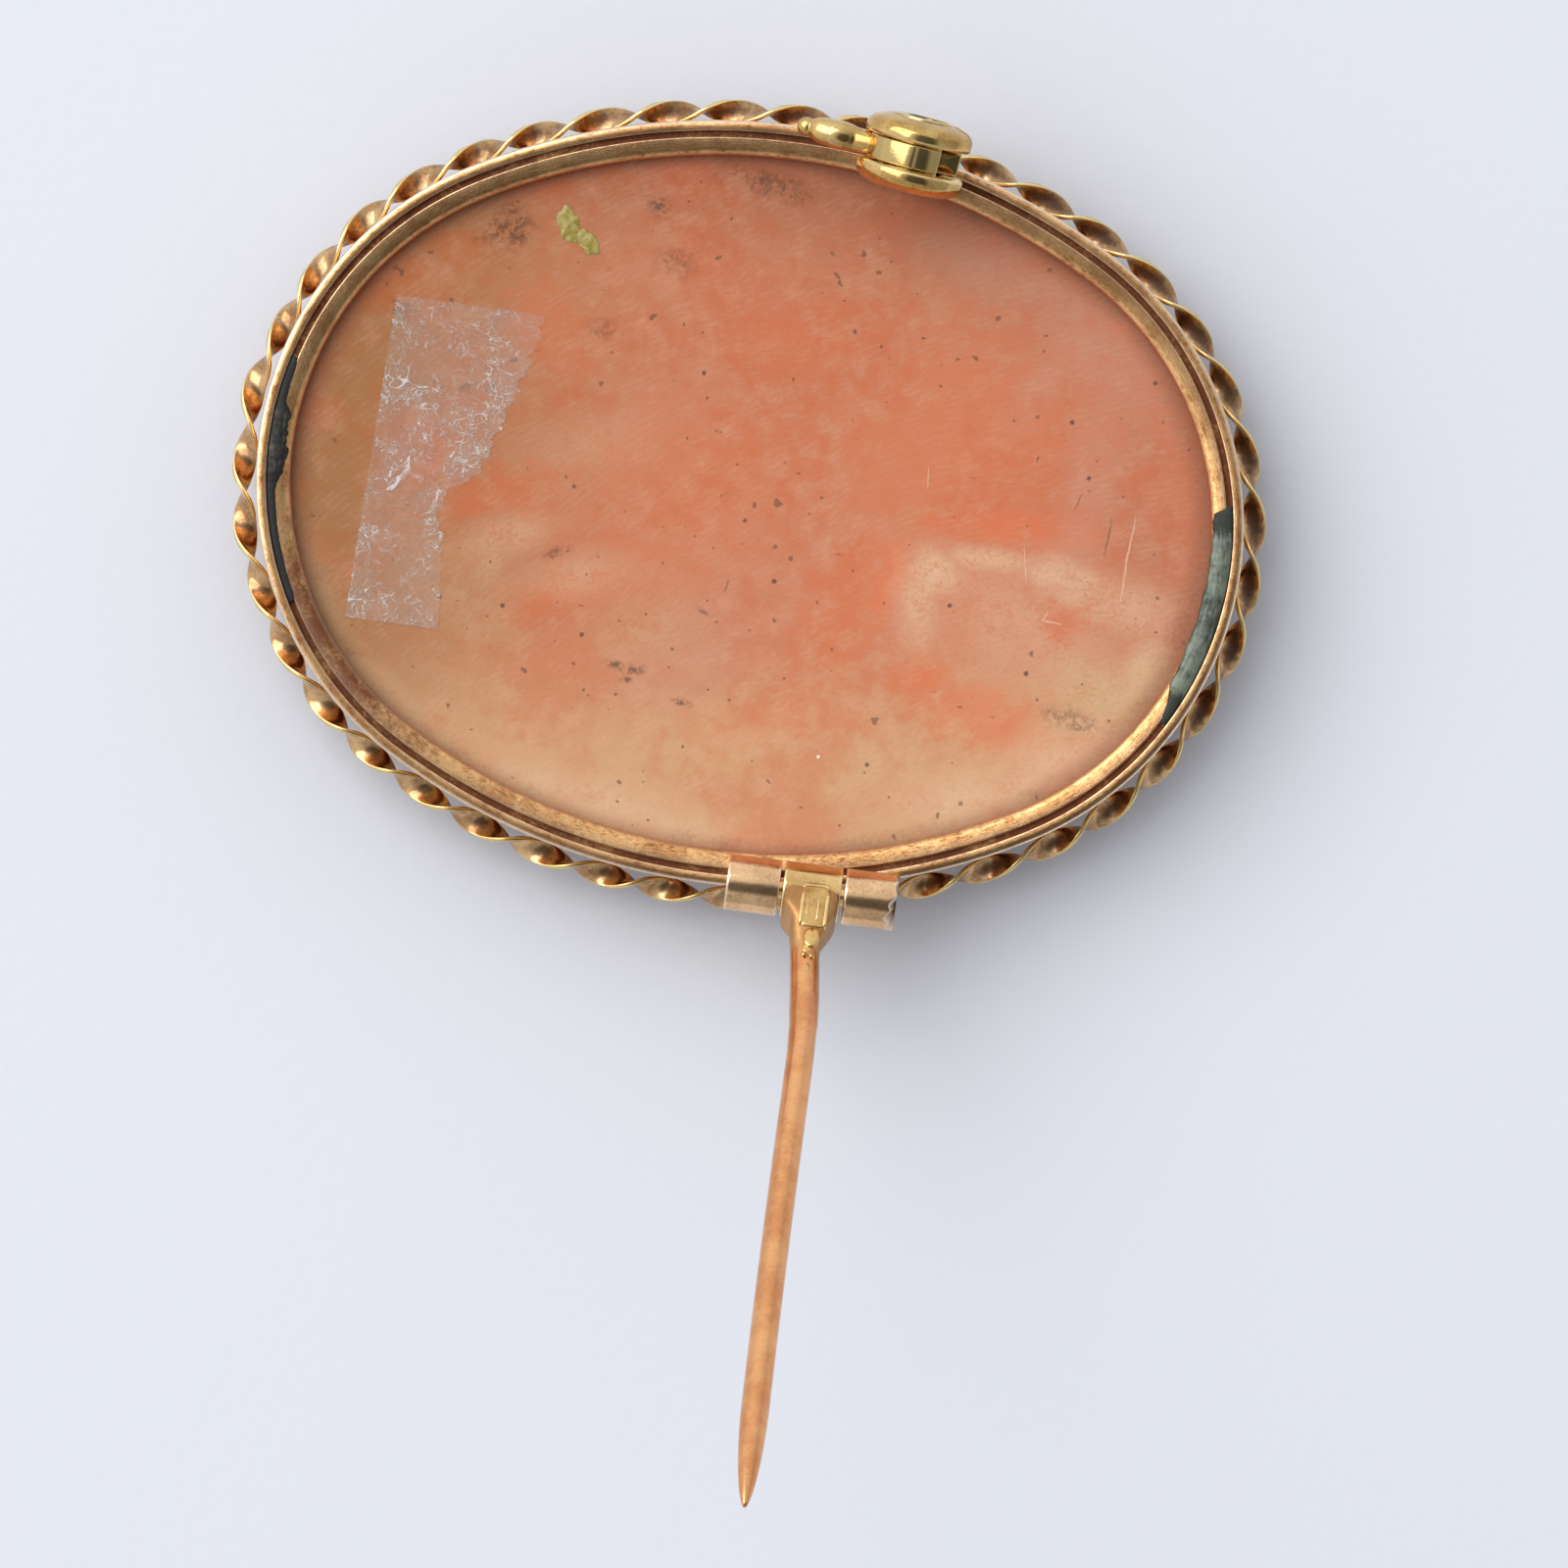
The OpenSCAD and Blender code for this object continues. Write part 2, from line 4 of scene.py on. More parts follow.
import bpy
import numpy as np
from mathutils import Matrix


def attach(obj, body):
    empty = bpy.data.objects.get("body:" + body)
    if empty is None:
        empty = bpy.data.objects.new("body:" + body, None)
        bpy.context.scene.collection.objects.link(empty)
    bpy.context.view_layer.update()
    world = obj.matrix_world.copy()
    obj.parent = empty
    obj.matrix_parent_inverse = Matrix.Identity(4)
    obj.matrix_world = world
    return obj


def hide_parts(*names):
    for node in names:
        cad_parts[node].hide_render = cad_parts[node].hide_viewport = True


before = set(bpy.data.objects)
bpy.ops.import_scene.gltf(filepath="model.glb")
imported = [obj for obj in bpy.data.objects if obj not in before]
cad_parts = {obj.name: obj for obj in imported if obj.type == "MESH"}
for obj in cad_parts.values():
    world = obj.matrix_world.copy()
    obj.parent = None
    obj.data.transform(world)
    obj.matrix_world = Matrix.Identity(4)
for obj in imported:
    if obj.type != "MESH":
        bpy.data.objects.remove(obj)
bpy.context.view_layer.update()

MM = 0.001
TURN = 2 * math.pi

# Oval band, in millimetres: its four arcs stand on a triangle with sides of 95, 168 and 193 units
HALF_L = 20.25
ARC_UNIT = 0.0665
END_C, SIDE_C = 95 * ARC_UNIT, 168 * ARC_UNIT
END_R = HALF_L - END_C
SIDE_R = END_R + 193 * ARC_UNIT
HALF_W = SIDE_R - SIDE_C
JOINT = math.atan2(168, 95)
BAND_FRONT, RIM_Z = 2.0, 5.4
GROOVE_OUT, GROOVE_IN, GROOVE_FLOOR = -0.44, -0.69, 5.02
BEZEL_IN, BEZEL_Z, BEZEL_FALL, LEDGE_Z = -1.44, 5.3, 1 / 9, 4.65
SEAT_D, LIP_D, LIP_BACK_Z, LIP_FRONT_Z = -0.94, -1.34, 2.95, 2.5

# Shell
SHELL_GAP = 0.05
SHELL_D = SEAT_D - SHELL_GAP
SHELL_L, SHELL_W = HALF_L + SHELL_D, HALF_W + SHELL_D
SHELL_BACK_Z, SHELL_FRONT_Z, BACK_HOLLOW = 4.6, 3.0, 0.85
GROUND_DEPTH, SEAT_SHARE, CARVED_SHARE = 1.6, 0.95, 0.93
PETAL_H, ROSE_R, LEAF_H = 1.85, 8.4, 0.75

# Twisted ribbon
RIBBON_W, RIBBON_T, RIBBON_RISE, HALF_TURNS = 0.98, 0.26, 0.65, 43
RIBBON_D = math.hypot(RIBBON_W, RIBBON_T) / 2
RIBBON_Z = BAND_FRONT + RIBBON_RISE
RIBBON_START, RIBBON_LINGER = math.radians(40), 0.08

# Hinge, pin and catch
HINGE_X, HINGE_PAST_RIM, HINGE_YAW = 4.65, 0.17, math.radians(0.5)
TUBE_R, BORE_R, RIVET_R, SEAT_HALF = 1.15, 0.43, 0.4, 0.85
OUTER_LEN, MIDDLE_LEN, KNUCKLE_GAP = 2.15, 2.36, 0.15
WIRE_R, NECK_R, POINT_LEN = 0.56, 0.6, 5.0
OPEN_ANGLE, LEAN_LEN, LEAN = math.radians(139), 7.0, math.radians(5.4)
ROOT_START, ROOT_END, ROOT_HALF, ROOT_HIGH, ROOT_SHIFT, TIP_PAST = 1.2, 3.45, 1.12, 1.0, 0.28, 1.3
CATCH_X, CATCH_IN_RIM, CATCH_RISE = 4.77, 0.33, 3.3
CATCH_YAW, CATCH_LEAN = math.radians(-6.5), math.radians(6.5)
CHEEK_R, CATCH_HALF, CHAMBER_R, RUN_GAP = 2.25, 1.5, 0.65, 0.05
RING_R, HUB_R, WHEEL_HALF, RING_OPEN = 1.95, 1.2, 0.5, math.radians(54)
LEVER_LEN, LEVER_DROP, LOBE_R, BEAD_R, LOBE_TO_BEAD = 5.05, math.radians(10), 0.72, 0.42, 0.4
BEAD_X = LEVER_LEN - BEAD_R
LOBE_X = BEAD_X - LOBE_R - LOBE_TO_BEAD


def rim_y(x):
    """Half the band's width at the distance x from the middle, on its long sides."""
    return math.sqrt(SIDE_R**2 - x * x) - SIDE_C


def bezel_top(d):
    """Height of the bezel's top at d: it falls inwards from the groove by one in nine."""
    return BEZEL_Z - BEZEL_FALL * np.clip(GROOVE_IN - d, 0, GROOVE_IN - BEZEL_IN)


HINGE = np.array([HINGE_X, -rim_y(HINGE_X) - HINGE_PAST_RIM, RIM_Z + RUN_GAP + TUBE_R])
CATCH = np.array([CATCH_X, rim_y(CATCH_X) - CATCH_IN_RIM, RIM_Z + CATCH_RISE])


def along_and_across(x, y, direction):
    """Distances along a direction, in degrees, and across it, of numbers, arrays or shader values."""
    c, s = math.cos(math.radians(direction)), math.sin(math.radians(direction))
    return x * c + y * s, y * c - x * s


def oval_at(a, d):
    """Points d outside the band, where it faces a: the arc's centre plus its radius and d along a."""
    f = np.mod(a, TURN)
    right = (f <= JOINT) | (f >= TURN - JOINT)
    left = np.abs(f - math.pi) <= JOINT
    centre_x = np.where(right, END_C, np.where(left, -END_C, 0.0))
    centre_y = np.where(right | left, 0.0, np.where(f < math.pi, -SIDE_C, SIDE_C))
    reach = np.where(right | left, END_R, SIDE_R) + d
    return centre_x + reach * np.cos(f), centre_y + reach * np.sin(f)


def facing(share):
    """Direction that the oval faces after a share of its length, spread over the arcs by their angles."""
    end_arc, side_arc = END_R * JOINT, SIDE_R * (TURN / 4 - JOINT)
    quarter = np.floor(4 * share)
    run = (4 * share - quarter) * (end_arc + side_arc)
    even = quarter % 2 == 0
    part = np.where(even, run, end_arc + side_arc - run)
    on_side = JOINT + (TURN / 4 - JOINT) * (part - end_arc) / side_arc
    turn = np.where(part < end_arc, JOINT * part / end_arc, on_side)
    return TURN / 4 * np.where(even, quarter, quarter + 1) + np.where(even, turn, -turn)


def soft(x):
    """Rises from 0 to 1 as x does, level at both ends: three squares less two cubes."""
    t = np.clip(x, 0, 1)
    return t * t * (3 - 2 * t)


def bell(x, middle, spread, power=2):
    """Bell curve, 1 at the middle: e to minus the power of the distance in spreads."""
    return np.exp(-(np.abs((x - middle) / spread) ** power))


def ripple(x, seed, waves=((3, 1.0), (7, 0.6), (13, 0.4))):
    """A closed uneven wave of x, 0 to 1 round the loop: a sum of whole sines with set phases."""
    return sum(size * np.sin(TURN * n * x + seed * (n + 1.7)) for n, size in waves) / 2


def spots(x, y, z):
    """Points from their three coordinates, each a number, a row, a column or a whole grid."""
    return np.stack(np.broadcast_arrays(x, y, z), axis=-1)


def angles(count):
    """So many directions round a full turn, in one row."""
    return np.linspace(0, TURN, count, endpoint=False)[None]


def put(name, data):
    """Puts a new object with this data into the scene."""
    made = bpy.data.objects.new(name, data)
    bpy.context.scene.collection.objects.link(made)
    return made


class Piece:
    """Gathers closed surfaces, in millimetres, and makes one mesh of them with its own marks."""

    def __init__(self, name):
        self.name, self.points, self.faces, self.marks, self.count = name, [], [], {}, 0

    def grid(self, points, ends="fans", **marks):
        """Closed rows of points joined by four-sided faces, with its first and last rows closed by fans.

        With the ends "joined", the last row leads back to the first instead, and "open" leaves them.
        A mark is a number, a row, a column or a whole grid.
        """
        rows, cols = points.shape[:2]
        low = np.arange(rows * cols).reshape(rows, cols)
        high = np.roll(low, -1, axis=0)
        corners = np.stack([low, np.roll(low, -1, axis=1), np.roll(high, -1, axis=1), high], axis=-1)
        faces = [(corners if ends == "joined" else corners[:-1]).reshape(-1, 4)]
        cloud = [points.reshape(-1, 3)]
        values = {key: [np.broadcast_to(v, (rows, cols) + np.shape(v)[2:]).reshape(rows * cols, -1)]
                  for key, v in marks.items()}
        total = rows * cols
        for row in (0, rows - 1) if ends == "fans" else ():
            cloud.append(points[row].mean(axis=0, keepdims=True))
            for parts in values.values():
                parts.append(parts[0][row * cols:(row + 1) * cols].mean(axis=0, keepdims=True))
            here, beside = low[row], np.roll(low[row], -1)
            pair = (beside, here) if row == 0 else (here, beside)
            faces.append(np.stack([np.full(cols, total), *pair], axis=-1))
            total += 1
        cloud = np.concatenate(cloud)
        outwards = 1 if volume(cloud, faces) > 0 else -1
        self.points.append(cloud)
        for part in faces:
            self.faces += (part[:, ::outwards] + self.count).tolist()
        for key, parts in values.items():
            self.marks.setdefault(key, []).append((self.count, np.concatenate(parts)))
        self.count += total
        return self

    def make(self, material, body, slot, *nodes):
        """Makes the mesh, in metres, gives it its material and lets it ride and stand for its nodes."""
        mesh = bpy.data.meshes.new(self.name)
        mesh.from_pydata((np.concatenate(self.points) * MM).tolist(), [], self.faces)
        for key, parts in self.marks.items():
            wide = parts[0][1].shape[1] == 3
            full = np.zeros((self.count, 3 if wide else 1))
            for start, given in parts:
                full[start:start + len(given)] = given
            mark = mesh.attributes.new(key, "FLOAT_VECTOR" if wide else "FLOAT", "POINT")
            mark.data.foreach_set("vector" if wide else "value", full.ravel().astype(np.float32))
        mesh.shade_smooth()
        mesh.materials.append(material)
        piece = put(self.name, mesh)
        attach(piece, body)
        if nodes:
            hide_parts(*nodes)


def volume(points, faces):
    """Signed volume: the sum over each face's triangles of their corners' triple product, over six."""
    quads, *fans = faces
    corners = np.concatenate([quads[:, [0, 1, 2]], quads[:, [0, 2, 3]], *fans])
    a, b, c = (points[corners[:, i]] for i in range(3))
    return np.einsum("ij,ij->i", a, np.cross(b, c)).sum() / 6


def rounded_loop(corners, steps=5):
    """Closed outline through right-angled corners (x, y, radius), each turned by a quadratic curve."""
    corners = np.array(corners, float)
    tips, radii = corners[:, :2], corners[:, 2, None, None]
    back = np.roll(tips, 1, axis=0) - tips
    ahead = np.roll(tips, -1, axis=0) - tips
    back /= np.linalg.norm(back, axis=1, keepdims=True)
    ahead /= np.linalg.norm(ahead, axis=1, keepdims=True)
    t = np.linspace(0, 1, steps + 1)[None, :, None]
    curve = tips[:, None] + radii * ((1 - t) ** 2 * back[:, None] + t**2 * ahead[:, None])
    return curve.reshape(-1, 2)


def bent(v, power):
    """A sine or cosine raised to 2/power, with its sign kept, as superellipses need it."""
    return np.sign(v) * np.abs(v) ** (2 / power)


def oval_ring(half_w, half_h, power, count):
    """Both coordinates of superellipse outlines, one a row, from columns of half sizes and powers."""
    t = angles(count)
    return half_w * bent(np.cos(t), power), half_h * bent(np.sin(t), power)


def turned(points, axis, angle):
    """Points turned about a coordinate axis by the right-hand rule."""
    i, j = [k for k in range(3) if k != axis]
    sign = -1 if axis == 1 else 1
    out = points.copy()
    out[..., i] = points[..., i] * math.cos(angle) - sign * points[..., j] * math.sin(angle)
    out[..., j] = sign * points[..., i] * math.sin(angle) + points[..., j] * math.cos(angle)
    return out


def at_hinge(points, swing=0.0):
    """From the hinge's own frame, with X along its axis, to the part's."""
    return turned(turned(points, 0, swing), 2, HINGE_YAW) + HINGE


def at_catch(points):
    """From the chamber's own frame, with Y along it, to the part's."""
    return turned(turned(points, 0, CATCH_LEAN), 2, CATCH_YAW) + CATCH


def rounded_box(middle, half, power, rows, cols):
    """Superellipsoid: half-angle rows and full-angle columns, every sine and cosine raised to 2/power."""
    up, around = np.linspace(-TURN / 4, TURN / 4, rows + 2)[1:-1, None], angles(cols)
    x = half[0] * bent(np.cos(up), power) * bent(np.cos(around), power)
    y = half[1] * bent(np.cos(up), power) * bent(np.sin(around), power)
    z = half[2] * bent(np.sin(up), power)
    return spots(x, y, z) + np.array(middle)


# Shading

def paint(red, green, blue):
    """A colour given as on the screen, 0 to 255, turned into the linear one that shaders use."""
    c = np.array([red, green, blue]) / 255
    return (*np.where(c <= 0.04045, c / 12.92, ((c + 0.055) / 1.055) ** 2.4).tolist(), 1.0)


def by_node(operation, swapped=False):
    """A method of Value that adds one Math node for its operation."""

    def method(self, other=0.0):
        inputs = {0: other, 1: self} if swapped else {0: self, 1: other}
        return self.nodes.value("ShaderNodeMath", {"operation": operation}, inputs)

    return method


class Value:
    """A number socket that takes part in Python sums by adding Math nodes."""

    __add__ = __radd__ = by_node("ADD")
    __mul__ = __rmul__ = by_node("MULTIPLY")
    __sub__, __rsub__ = by_node("SUBTRACT"), by_node("SUBTRACT", swapped=True)
    __truediv__, __pow__ = by_node("DIVIDE"), by_node("POWER")
    size, sine, most = by_node("ABSOLUTE"), by_node("SINE"), by_node("MAXIMUM")

    def __init__(self, nodes, socket):
        self.nodes, self.socket = nodes, socket

    def rise(self, low, high):
        """0 at low, 1 at high, with a soft step between them."""
        settings = {"interpolation_type": "SMOOTHSTEP"}
        return self.nodes.value("ShaderNodeMapRange", settings, {0: self, 1: low, 2: high})


class Nodes:
    """Adds nodes to one tree, with their settings first and then the values or links of their sockets."""

    def __init__(self, tree):
        self.tree = tree
        tree.nodes.clear()

    def add(self, kind, settings=None, inputs=None):
        node = self.tree.nodes.new(kind)
        for key, setting in (settings or {}).items():
            setattr(node, key, setting)
        for key, given in (inputs or {}).items():
            given = given.socket if isinstance(given, Value) else given
            if isinstance(given, bpy.types.NodeSocket):
                self.tree.links.new(given, node.inputs[key])
            else:
                node.inputs[key].default_value = given
        return node

    def value(self, kind, settings=None, inputs=None, output=0):
        return Value(self, self.add(kind, settings, inputs).outputs[output])

    def place(self):
        """Object coordinates, in millimetres."""
        spot = self.add("ShaderNodeTexCoord").outputs["Object"]
        return self.add("ShaderNodeVectorMath", {"operation": "SCALE"}, {0: spot, "Scale": 1 / MM}).outputs[0]

    def vector(self, operation, first, second):
        return self.add("ShaderNodeVectorMath", {"operation": operation}, {0: first, 1: second}).outputs[0]

    def split(self, vector):
        node = self.add("ShaderNodeSeparateXYZ", None, {0: vector})
        return [Value(self, node.outputs[i]) for i in range(3)]

    def noise(self, vector, scale, detail, rough, warp=0.0):
        return self.value("ShaderNodeTexNoise", None, {
            "Vector": vector, "Scale": scale, "Detail": detail, "Roughness": rough, "Distortion": warp})

    def mark(self, name):
        return self.value("ShaderNodeAttribute", {"attribute_name": name}, None, 2)

    def lay(self):
        """The place on a piece's own unrolled surface, which scratches follow."""
        return self.add("ShaderNodeAttribute", {"attribute_name": "lay"}).outputs["Vector"]

    def mix(self, share, a, b):
        return self.add("ShaderNodeMix", {"data_type": "RGBA"}, {0: share, 6: a, 7: b}).outputs[2]

    def bump(self, height, depth, strength, under=None):
        """A Bump node for a height of 0 to 1 that stands for the depth, in millimetres."""
        sockets = {"Strength": strength, "Distance": depth * MM, "Height": height}
        if under is not None:
            sockets["Normal"] = under
        return self.add("ShaderNodeBump", None, sockets).outputs[0]

    def surface(self, **sockets):
        named = {key.replace("_", " "): given for key, given in sockets.items()}
        shader = self.add("ShaderNodeBsdfPrincipled", None, named)
        self.add("ShaderNodeOutputMaterial", None, {"Surface": shader.outputs[0]})


def material(name):
    made = bpy.data.materials.new(name)
    made.use_nodes = True
    return made, Nodes(made.node_tree)


# Golds: light, deep, dirt-and-shade and glint tones, roughness, wear and whether scratches follow the piece.
# The dirt-and-shade tone also paints shade; the glint tone is a painted highlight on the edges
GOLDS = {
    "worn_band_gold": ((238, 186, 126), (212, 154, 98), (112, 56, 24), (255, 232, 206), 0.22, 0.9, True),
    "patinated_border": ((216, 176, 128), (172, 126, 86), (84, 54, 38), (250, 222, 150), 0.16, 0.4, False),
    "rose_gold": ((242, 194, 138), (214, 164, 108), (92, 64, 38), (255, 226, 196), 0.13, 0.45, False),
    "coppery_pin_gold": ((238, 174, 118), (222, 150, 98), (162, 124, 70), (250, 216, 160), 0.18, 0.3, False),
    "yellow_solder": ((228, 186, 118), (200, 152, 88), (98, 66, 34), (252, 226, 170), 0.12, 0.3, False),
    "polished_catch_gold": ((222, 184, 114), (190, 148, 86), (76, 50, 26), (255, 232, 172), 0.1, 0.3, False),
    # The wheel's gold is made darker as a painted dark reflection of the room overhead
    "wheel_gold_with_painted_reflection": ((168, 134, 80), (132, 100, 56), (62, 42, 24), (236, 208, 140), 0.12, 0.4, False),
}


def worn_gold(name):
    """Old gold: two tones in clouds, grime in pits, darkening in hollows that is partly grime and partly
    painted shade, rubbed edges with a painted glint, and fine scratches.
    """
    *tones, rough, wear, follows = GOLDS[name]
    light, deep, dirt_and_shade, glint = (paint(*tone) for tone in tones)
    made, n = material(name)
    here = n.place()
    clouds = n.noise(here, 0.7, 3.0, 0.6)
    fine = n.noise(here, 6.0, 4.0, 0.65)
    hollow, edge = n.mark("hollow"), n.mark("edge")
    if follows:
        lines = n.noise(n.vector("MULTIPLY", n.lay(), (22.0, 30.0, 30.0)), 1.0, 4.0, 0.7)
        pits = n.noise(n.vector("MULTIPLY", n.lay(), (10.0, 60.0, 60.0)), 1.0, 3.0, 0.6)
    else:
        lines = n.noise(n.vector("MULTIPLY", here, (3.0, 11.0, 7.0)), 1.0, 3.0, 0.7)
        pits = n.noise(here, 7.5, 3.0, 0.6)
    # Darkening by the hollow mark and noise: partly grime and patina, partly painted shade
    dirt_and_shade_share = (hollow + ((fine - 0.5) * 0.8 + (clouds - 0.5) * 0.8) * wear).rise(0.35, 0.9)
    specks = pits.rise(0.48, 0.66) * (clouds.rise(0.3, 0.6) * 0.6 + 0.4) * (0.8 * wear)
    tone = n.mix((clouds + (fine - 0.5) * 0.6 * wear).rise(0.35, 0.65), light, deep)
    tone = n.mix(specks, tone, dirt_and_shade)
    tone = n.mix(dirt_and_shade_share * 0.94, tone, dirt_and_shade)
    # Painted highlight: edges mixed towards the bright glint tone, over their real wear
    tone = n.mix(edge * 0.8, tone, glint)
    mottled = 0.06 if follows else 0.14
    uneven = (fine - 0.5) * mottled + (lines - 0.5) * 0.3 + specks * 0.2
    roughness = (uneven * wear + dirt_and_shade_share * 0.25 + rough) * (1 - edge * 0.45)
    relief = n.bump(lines, 0.009 * wear, 0.8)
    if not follows:
        relief = n.bump(fine, 0.008 * wear, 0.5, relief)
    n.surface(Base_Color=tone, Metallic=1 - dirt_and_shade_share * 0.45, Roughness=roughness, Normal=relief)
    return made


def shell_material():
    """Peach shell: growth lines and old stains behind, white relief on the peach ground in front."""
    made, n = material("carved_shell")
    here = n.place()
    x, y, _ = n.split(here)
    cloud = n.noise(here, 0.2, 4.0, 0.6)
    mottle = n.noise(here, 1.0, 5.0, 0.65)
    fine = n.noise(here, 6.0, 4.0, 0.7)
    drift = (cloud - 0.5) * 7.0 + (mottle - 0.5) * 2.0
    warp = (fine - 0.5) * 0.8 + (mottle - 0.5) * 3.0 + (cloud - 0.5) * 1.4

    def blot(at_x, at_y, direction, half_len, half_wide, strength):
        """Soft oval patch, turned, for stains and for the haze with its painted sheen: 1 inside, 0 outside,
        with a warped edge.
        """
        along, across = along_and_across(x - at_x, y - at_y, direction)
        away = ((along / half_len) ** 2.0 + (across / half_wide) ** 2.0) ** 0.5
        return (away + warp).rise(1.7, 0.2) * strength

    def dot(at_x, at_y, half):
        """Small round speck with an uneven edge."""
        away = ((x - at_x) ** 2.0 + (y - at_y) ** 2.0) ** 0.5
        return (away + (fine - 0.5) * 0.16).rise(half, half * 0.4)

    def stroke(at_x, at_y, direction, half_len, half_wide):
        """Thin scratch about its middle, with its length along the given direction."""
        along, across = along_and_across(x - at_x, y - at_y, direction)
        wavering = across + (mottle - 0.5) * 0.3
        return ((along / half_len) ** 2.0 + (wavering / half_wide) ** 2.0).rise(1.1, 0.5)

    def most(form, rows):
        """The strongest of a table's marks at each place."""
        return functools.reduce(Value.most, [form(*row) for row in rows])

    beside, up = x - GROWTH_X, y - GROWTH_Y
    radial = (beside**2.0 + up**2.0) ** 0.5 + (mottle - 0.5) * 0.22 + (cloud - 0.5) * 1.4
    bearing = n.value("ShaderNodeMath", {"operation": "ARCTAN2"}, {0: up, 1: beside})
    polar = n.add("ShaderNodeCombineXYZ", None, {0: radial * 11.0, 1: bearing * 120.0}).outputs[0]
    strands = n.noise(polar, 1.0, 4.0, 0.75)
    rings = (radial * (TURN / 0.28)).sine() * 0.5 + 0.5
    lines = rings * 0.4 + strands.rise(0.3, 0.7) * 0.8

    broken = (fine + (mottle - 0.5) * 0.6).rise(0.3, 0.6) * 0.6 + 0.4
    crumbs = n.noise(here, 3.2, 5.0, 0.8).rise(0.42, 0.56)
    flecks = n.noise(here, 2.3, 1.0, 0.3).rise(0.75, 0.775)
    # Darker in a band all round the edge of the back, next to the bezel
    edge_darkening = (n.mark("share") + (fine - 0.5) * 0.05 + (mottle - 0.5) * 0.04).rise(0.92, 0.985)
    # The back's layers from the lowest up: share and colour
    layers = (
        ((x + y * 0.3 + drift).rise(9.0, 19.0) * 0.8, (184, 114, 80)),
        # Darker and redder towards the top: the shell's own colour, with a painted shadow of the rim and the
        # catch in it
        ((y + drift * 0.5).rise(8.5, 14.0) * 0.75, (164, 94, 62)),
        ((y * -1.0 + drift * 0.8 + x * 0.12).rise(4.0, 11.5) * 0.9, (214, 166, 118)),
        ((mottle * 0.7 + cloud * 0.6).rise(0.6, 0.85) * 0.4, (220, 152, 116)),
        ((cloud * 0.8 - mottle * 0.4).rise(0.12, 0.34) * 0.45, (204, 98, 52)),
        (most(blot, ORANGE_SPOTS), (224, 112, 62)),
        (most(blot, PALE_STAINS) * broken, (232, 192, 152)),
        (most(blot, OLIVE_STAINS) * broken, (210, 178, 130)),
        (most(blot, ROUND_SPOTS), (212, 112, 70)),
        (most(blot, HAZE_AND_SHEEN) * broken, (206, 148, 124)),
        (most(blot, DARK_SMUDGES) * crumbs, (98, 68, 48)),
        (flecks * 0.7, (116, 72, 50)),
        (most(dot, DARK_SPECKS) * 0.85, (84, 56, 42)),
        (most(dot, WHITE_SPECKS), (250, 244, 232)),
        (most(stroke, DARK_SCRATCHES) * 0.55, (112, 70, 50)),
        (most(stroke, LIGHT_SCRATCHES) * 0.5, (236, 200, 172)),
        ((lines - 0.4).rise(0.0, 0.8) * mottle.rise(0.35, 0.6) * 0.12, (240, 186, 150)),
        ((0.5 - strands).rise(0.02, 0.2) * 0.14, (160, 84, 54)),
        (edge_darkening * 0.6, (124, 70, 38)),
    )
    tone = n.mix((x * -1.0 + drift).rise(2.5, 17.5), paint(206, 130, 93), paint(168, 114, 66))
    for share, colour in layers:
        tone = n.mix(share, tone, paint(*colour))

    veins = n.noise(here, 2.2, 5.0, 0.7)
    raised = (n.mark("relief") + (veins - 0.5) * 0.18).rise(0.05, 0.5)
    carved = n.mix(raised, paint(196, 118, 78), paint(238, 220, 198))
    carved = n.mix((veins - 0.35).rise(0.0, 0.35) * 0.2, carved, paint(250, 242, 228))
    tone = n.mix(n.mark("back"), carved, tone)

    height = n.bump(fine, 0.02, 0.35, n.bump(lines, 0.004, 0.5))
    roughness = 0.4 + (mottle - 0.5) * 0.3 + (fine - 0.5) * 0.2
    n.surface(Base_Color=tone, Roughness=roughness, Normal=height, IOR=1.5)
    return made


# Growth lines of the shell run about this place
GROWTH_X, GROWTH_Y = 39.0, -57.0

# Stains of the shell's back: middle x and y, direction in degrees, half length, half width and strength
PALE_STAINS = [
    (7.9, -1.8, 20, 1.2, 1.1, 0.75), (7.3, -3.2, -78, 1.8, 0.95, 0.6), (10.0, -0.9, 0, 2.2, 0.5, 0.65),
    (13.2, -1.2, -3, 2.1, 0.7, 0.65), (14.2, -1.9, -5, 2.2, 1.1, 0.5), (16.0, -2.1, -8, 1.6, 1.1, 0.5),
    (16.9, -4.4, 80, 1.2, 0.9, 0.5), (11.6, -3.2, -6, 4.4, 2.3, 0.3), (-9.5, -2.5, 22, 2.0, 0.8, 0.4),
    (-10.2, -3.4, 80, 1.0, 0.6, 0.3), (-6.6, -3.8, 12, 2.2, 0.9, 0.32), (-4.5, -13.2, -8, 6.0, 1.2, 0.55),
    (13.8, -8.8, 28, 3.4, 1.2, 0.55), (10.4, -10.8, 12, 3.6, 1.0, 0.5), (-7.0, 1.6, 20, 2.4, 1.0, 0.15),
]
OLIVE_STAINS = [
    (15.3, -5.8, -8, 2.0, 1.3, 0.75), (16.9, -5.0, 30, 1.4, 0.9, 0.5), (-3.7, -5.6, 10, 2.2, 1.5, 0.3),
    (14.0, -7.1, 10, 1.3, 0.7, 0.5), (-11.0, -5.5, -50, 3.4, 1.6, 0.2), (-12.6, -11.2, -38, 5.0, 0.9, 0.6),
    (-16.9, -6.4, -62, 3.2, 0.7, 0.5), (-9.4, -9.6, -30, 4.0, 1.6, 0.1),
]
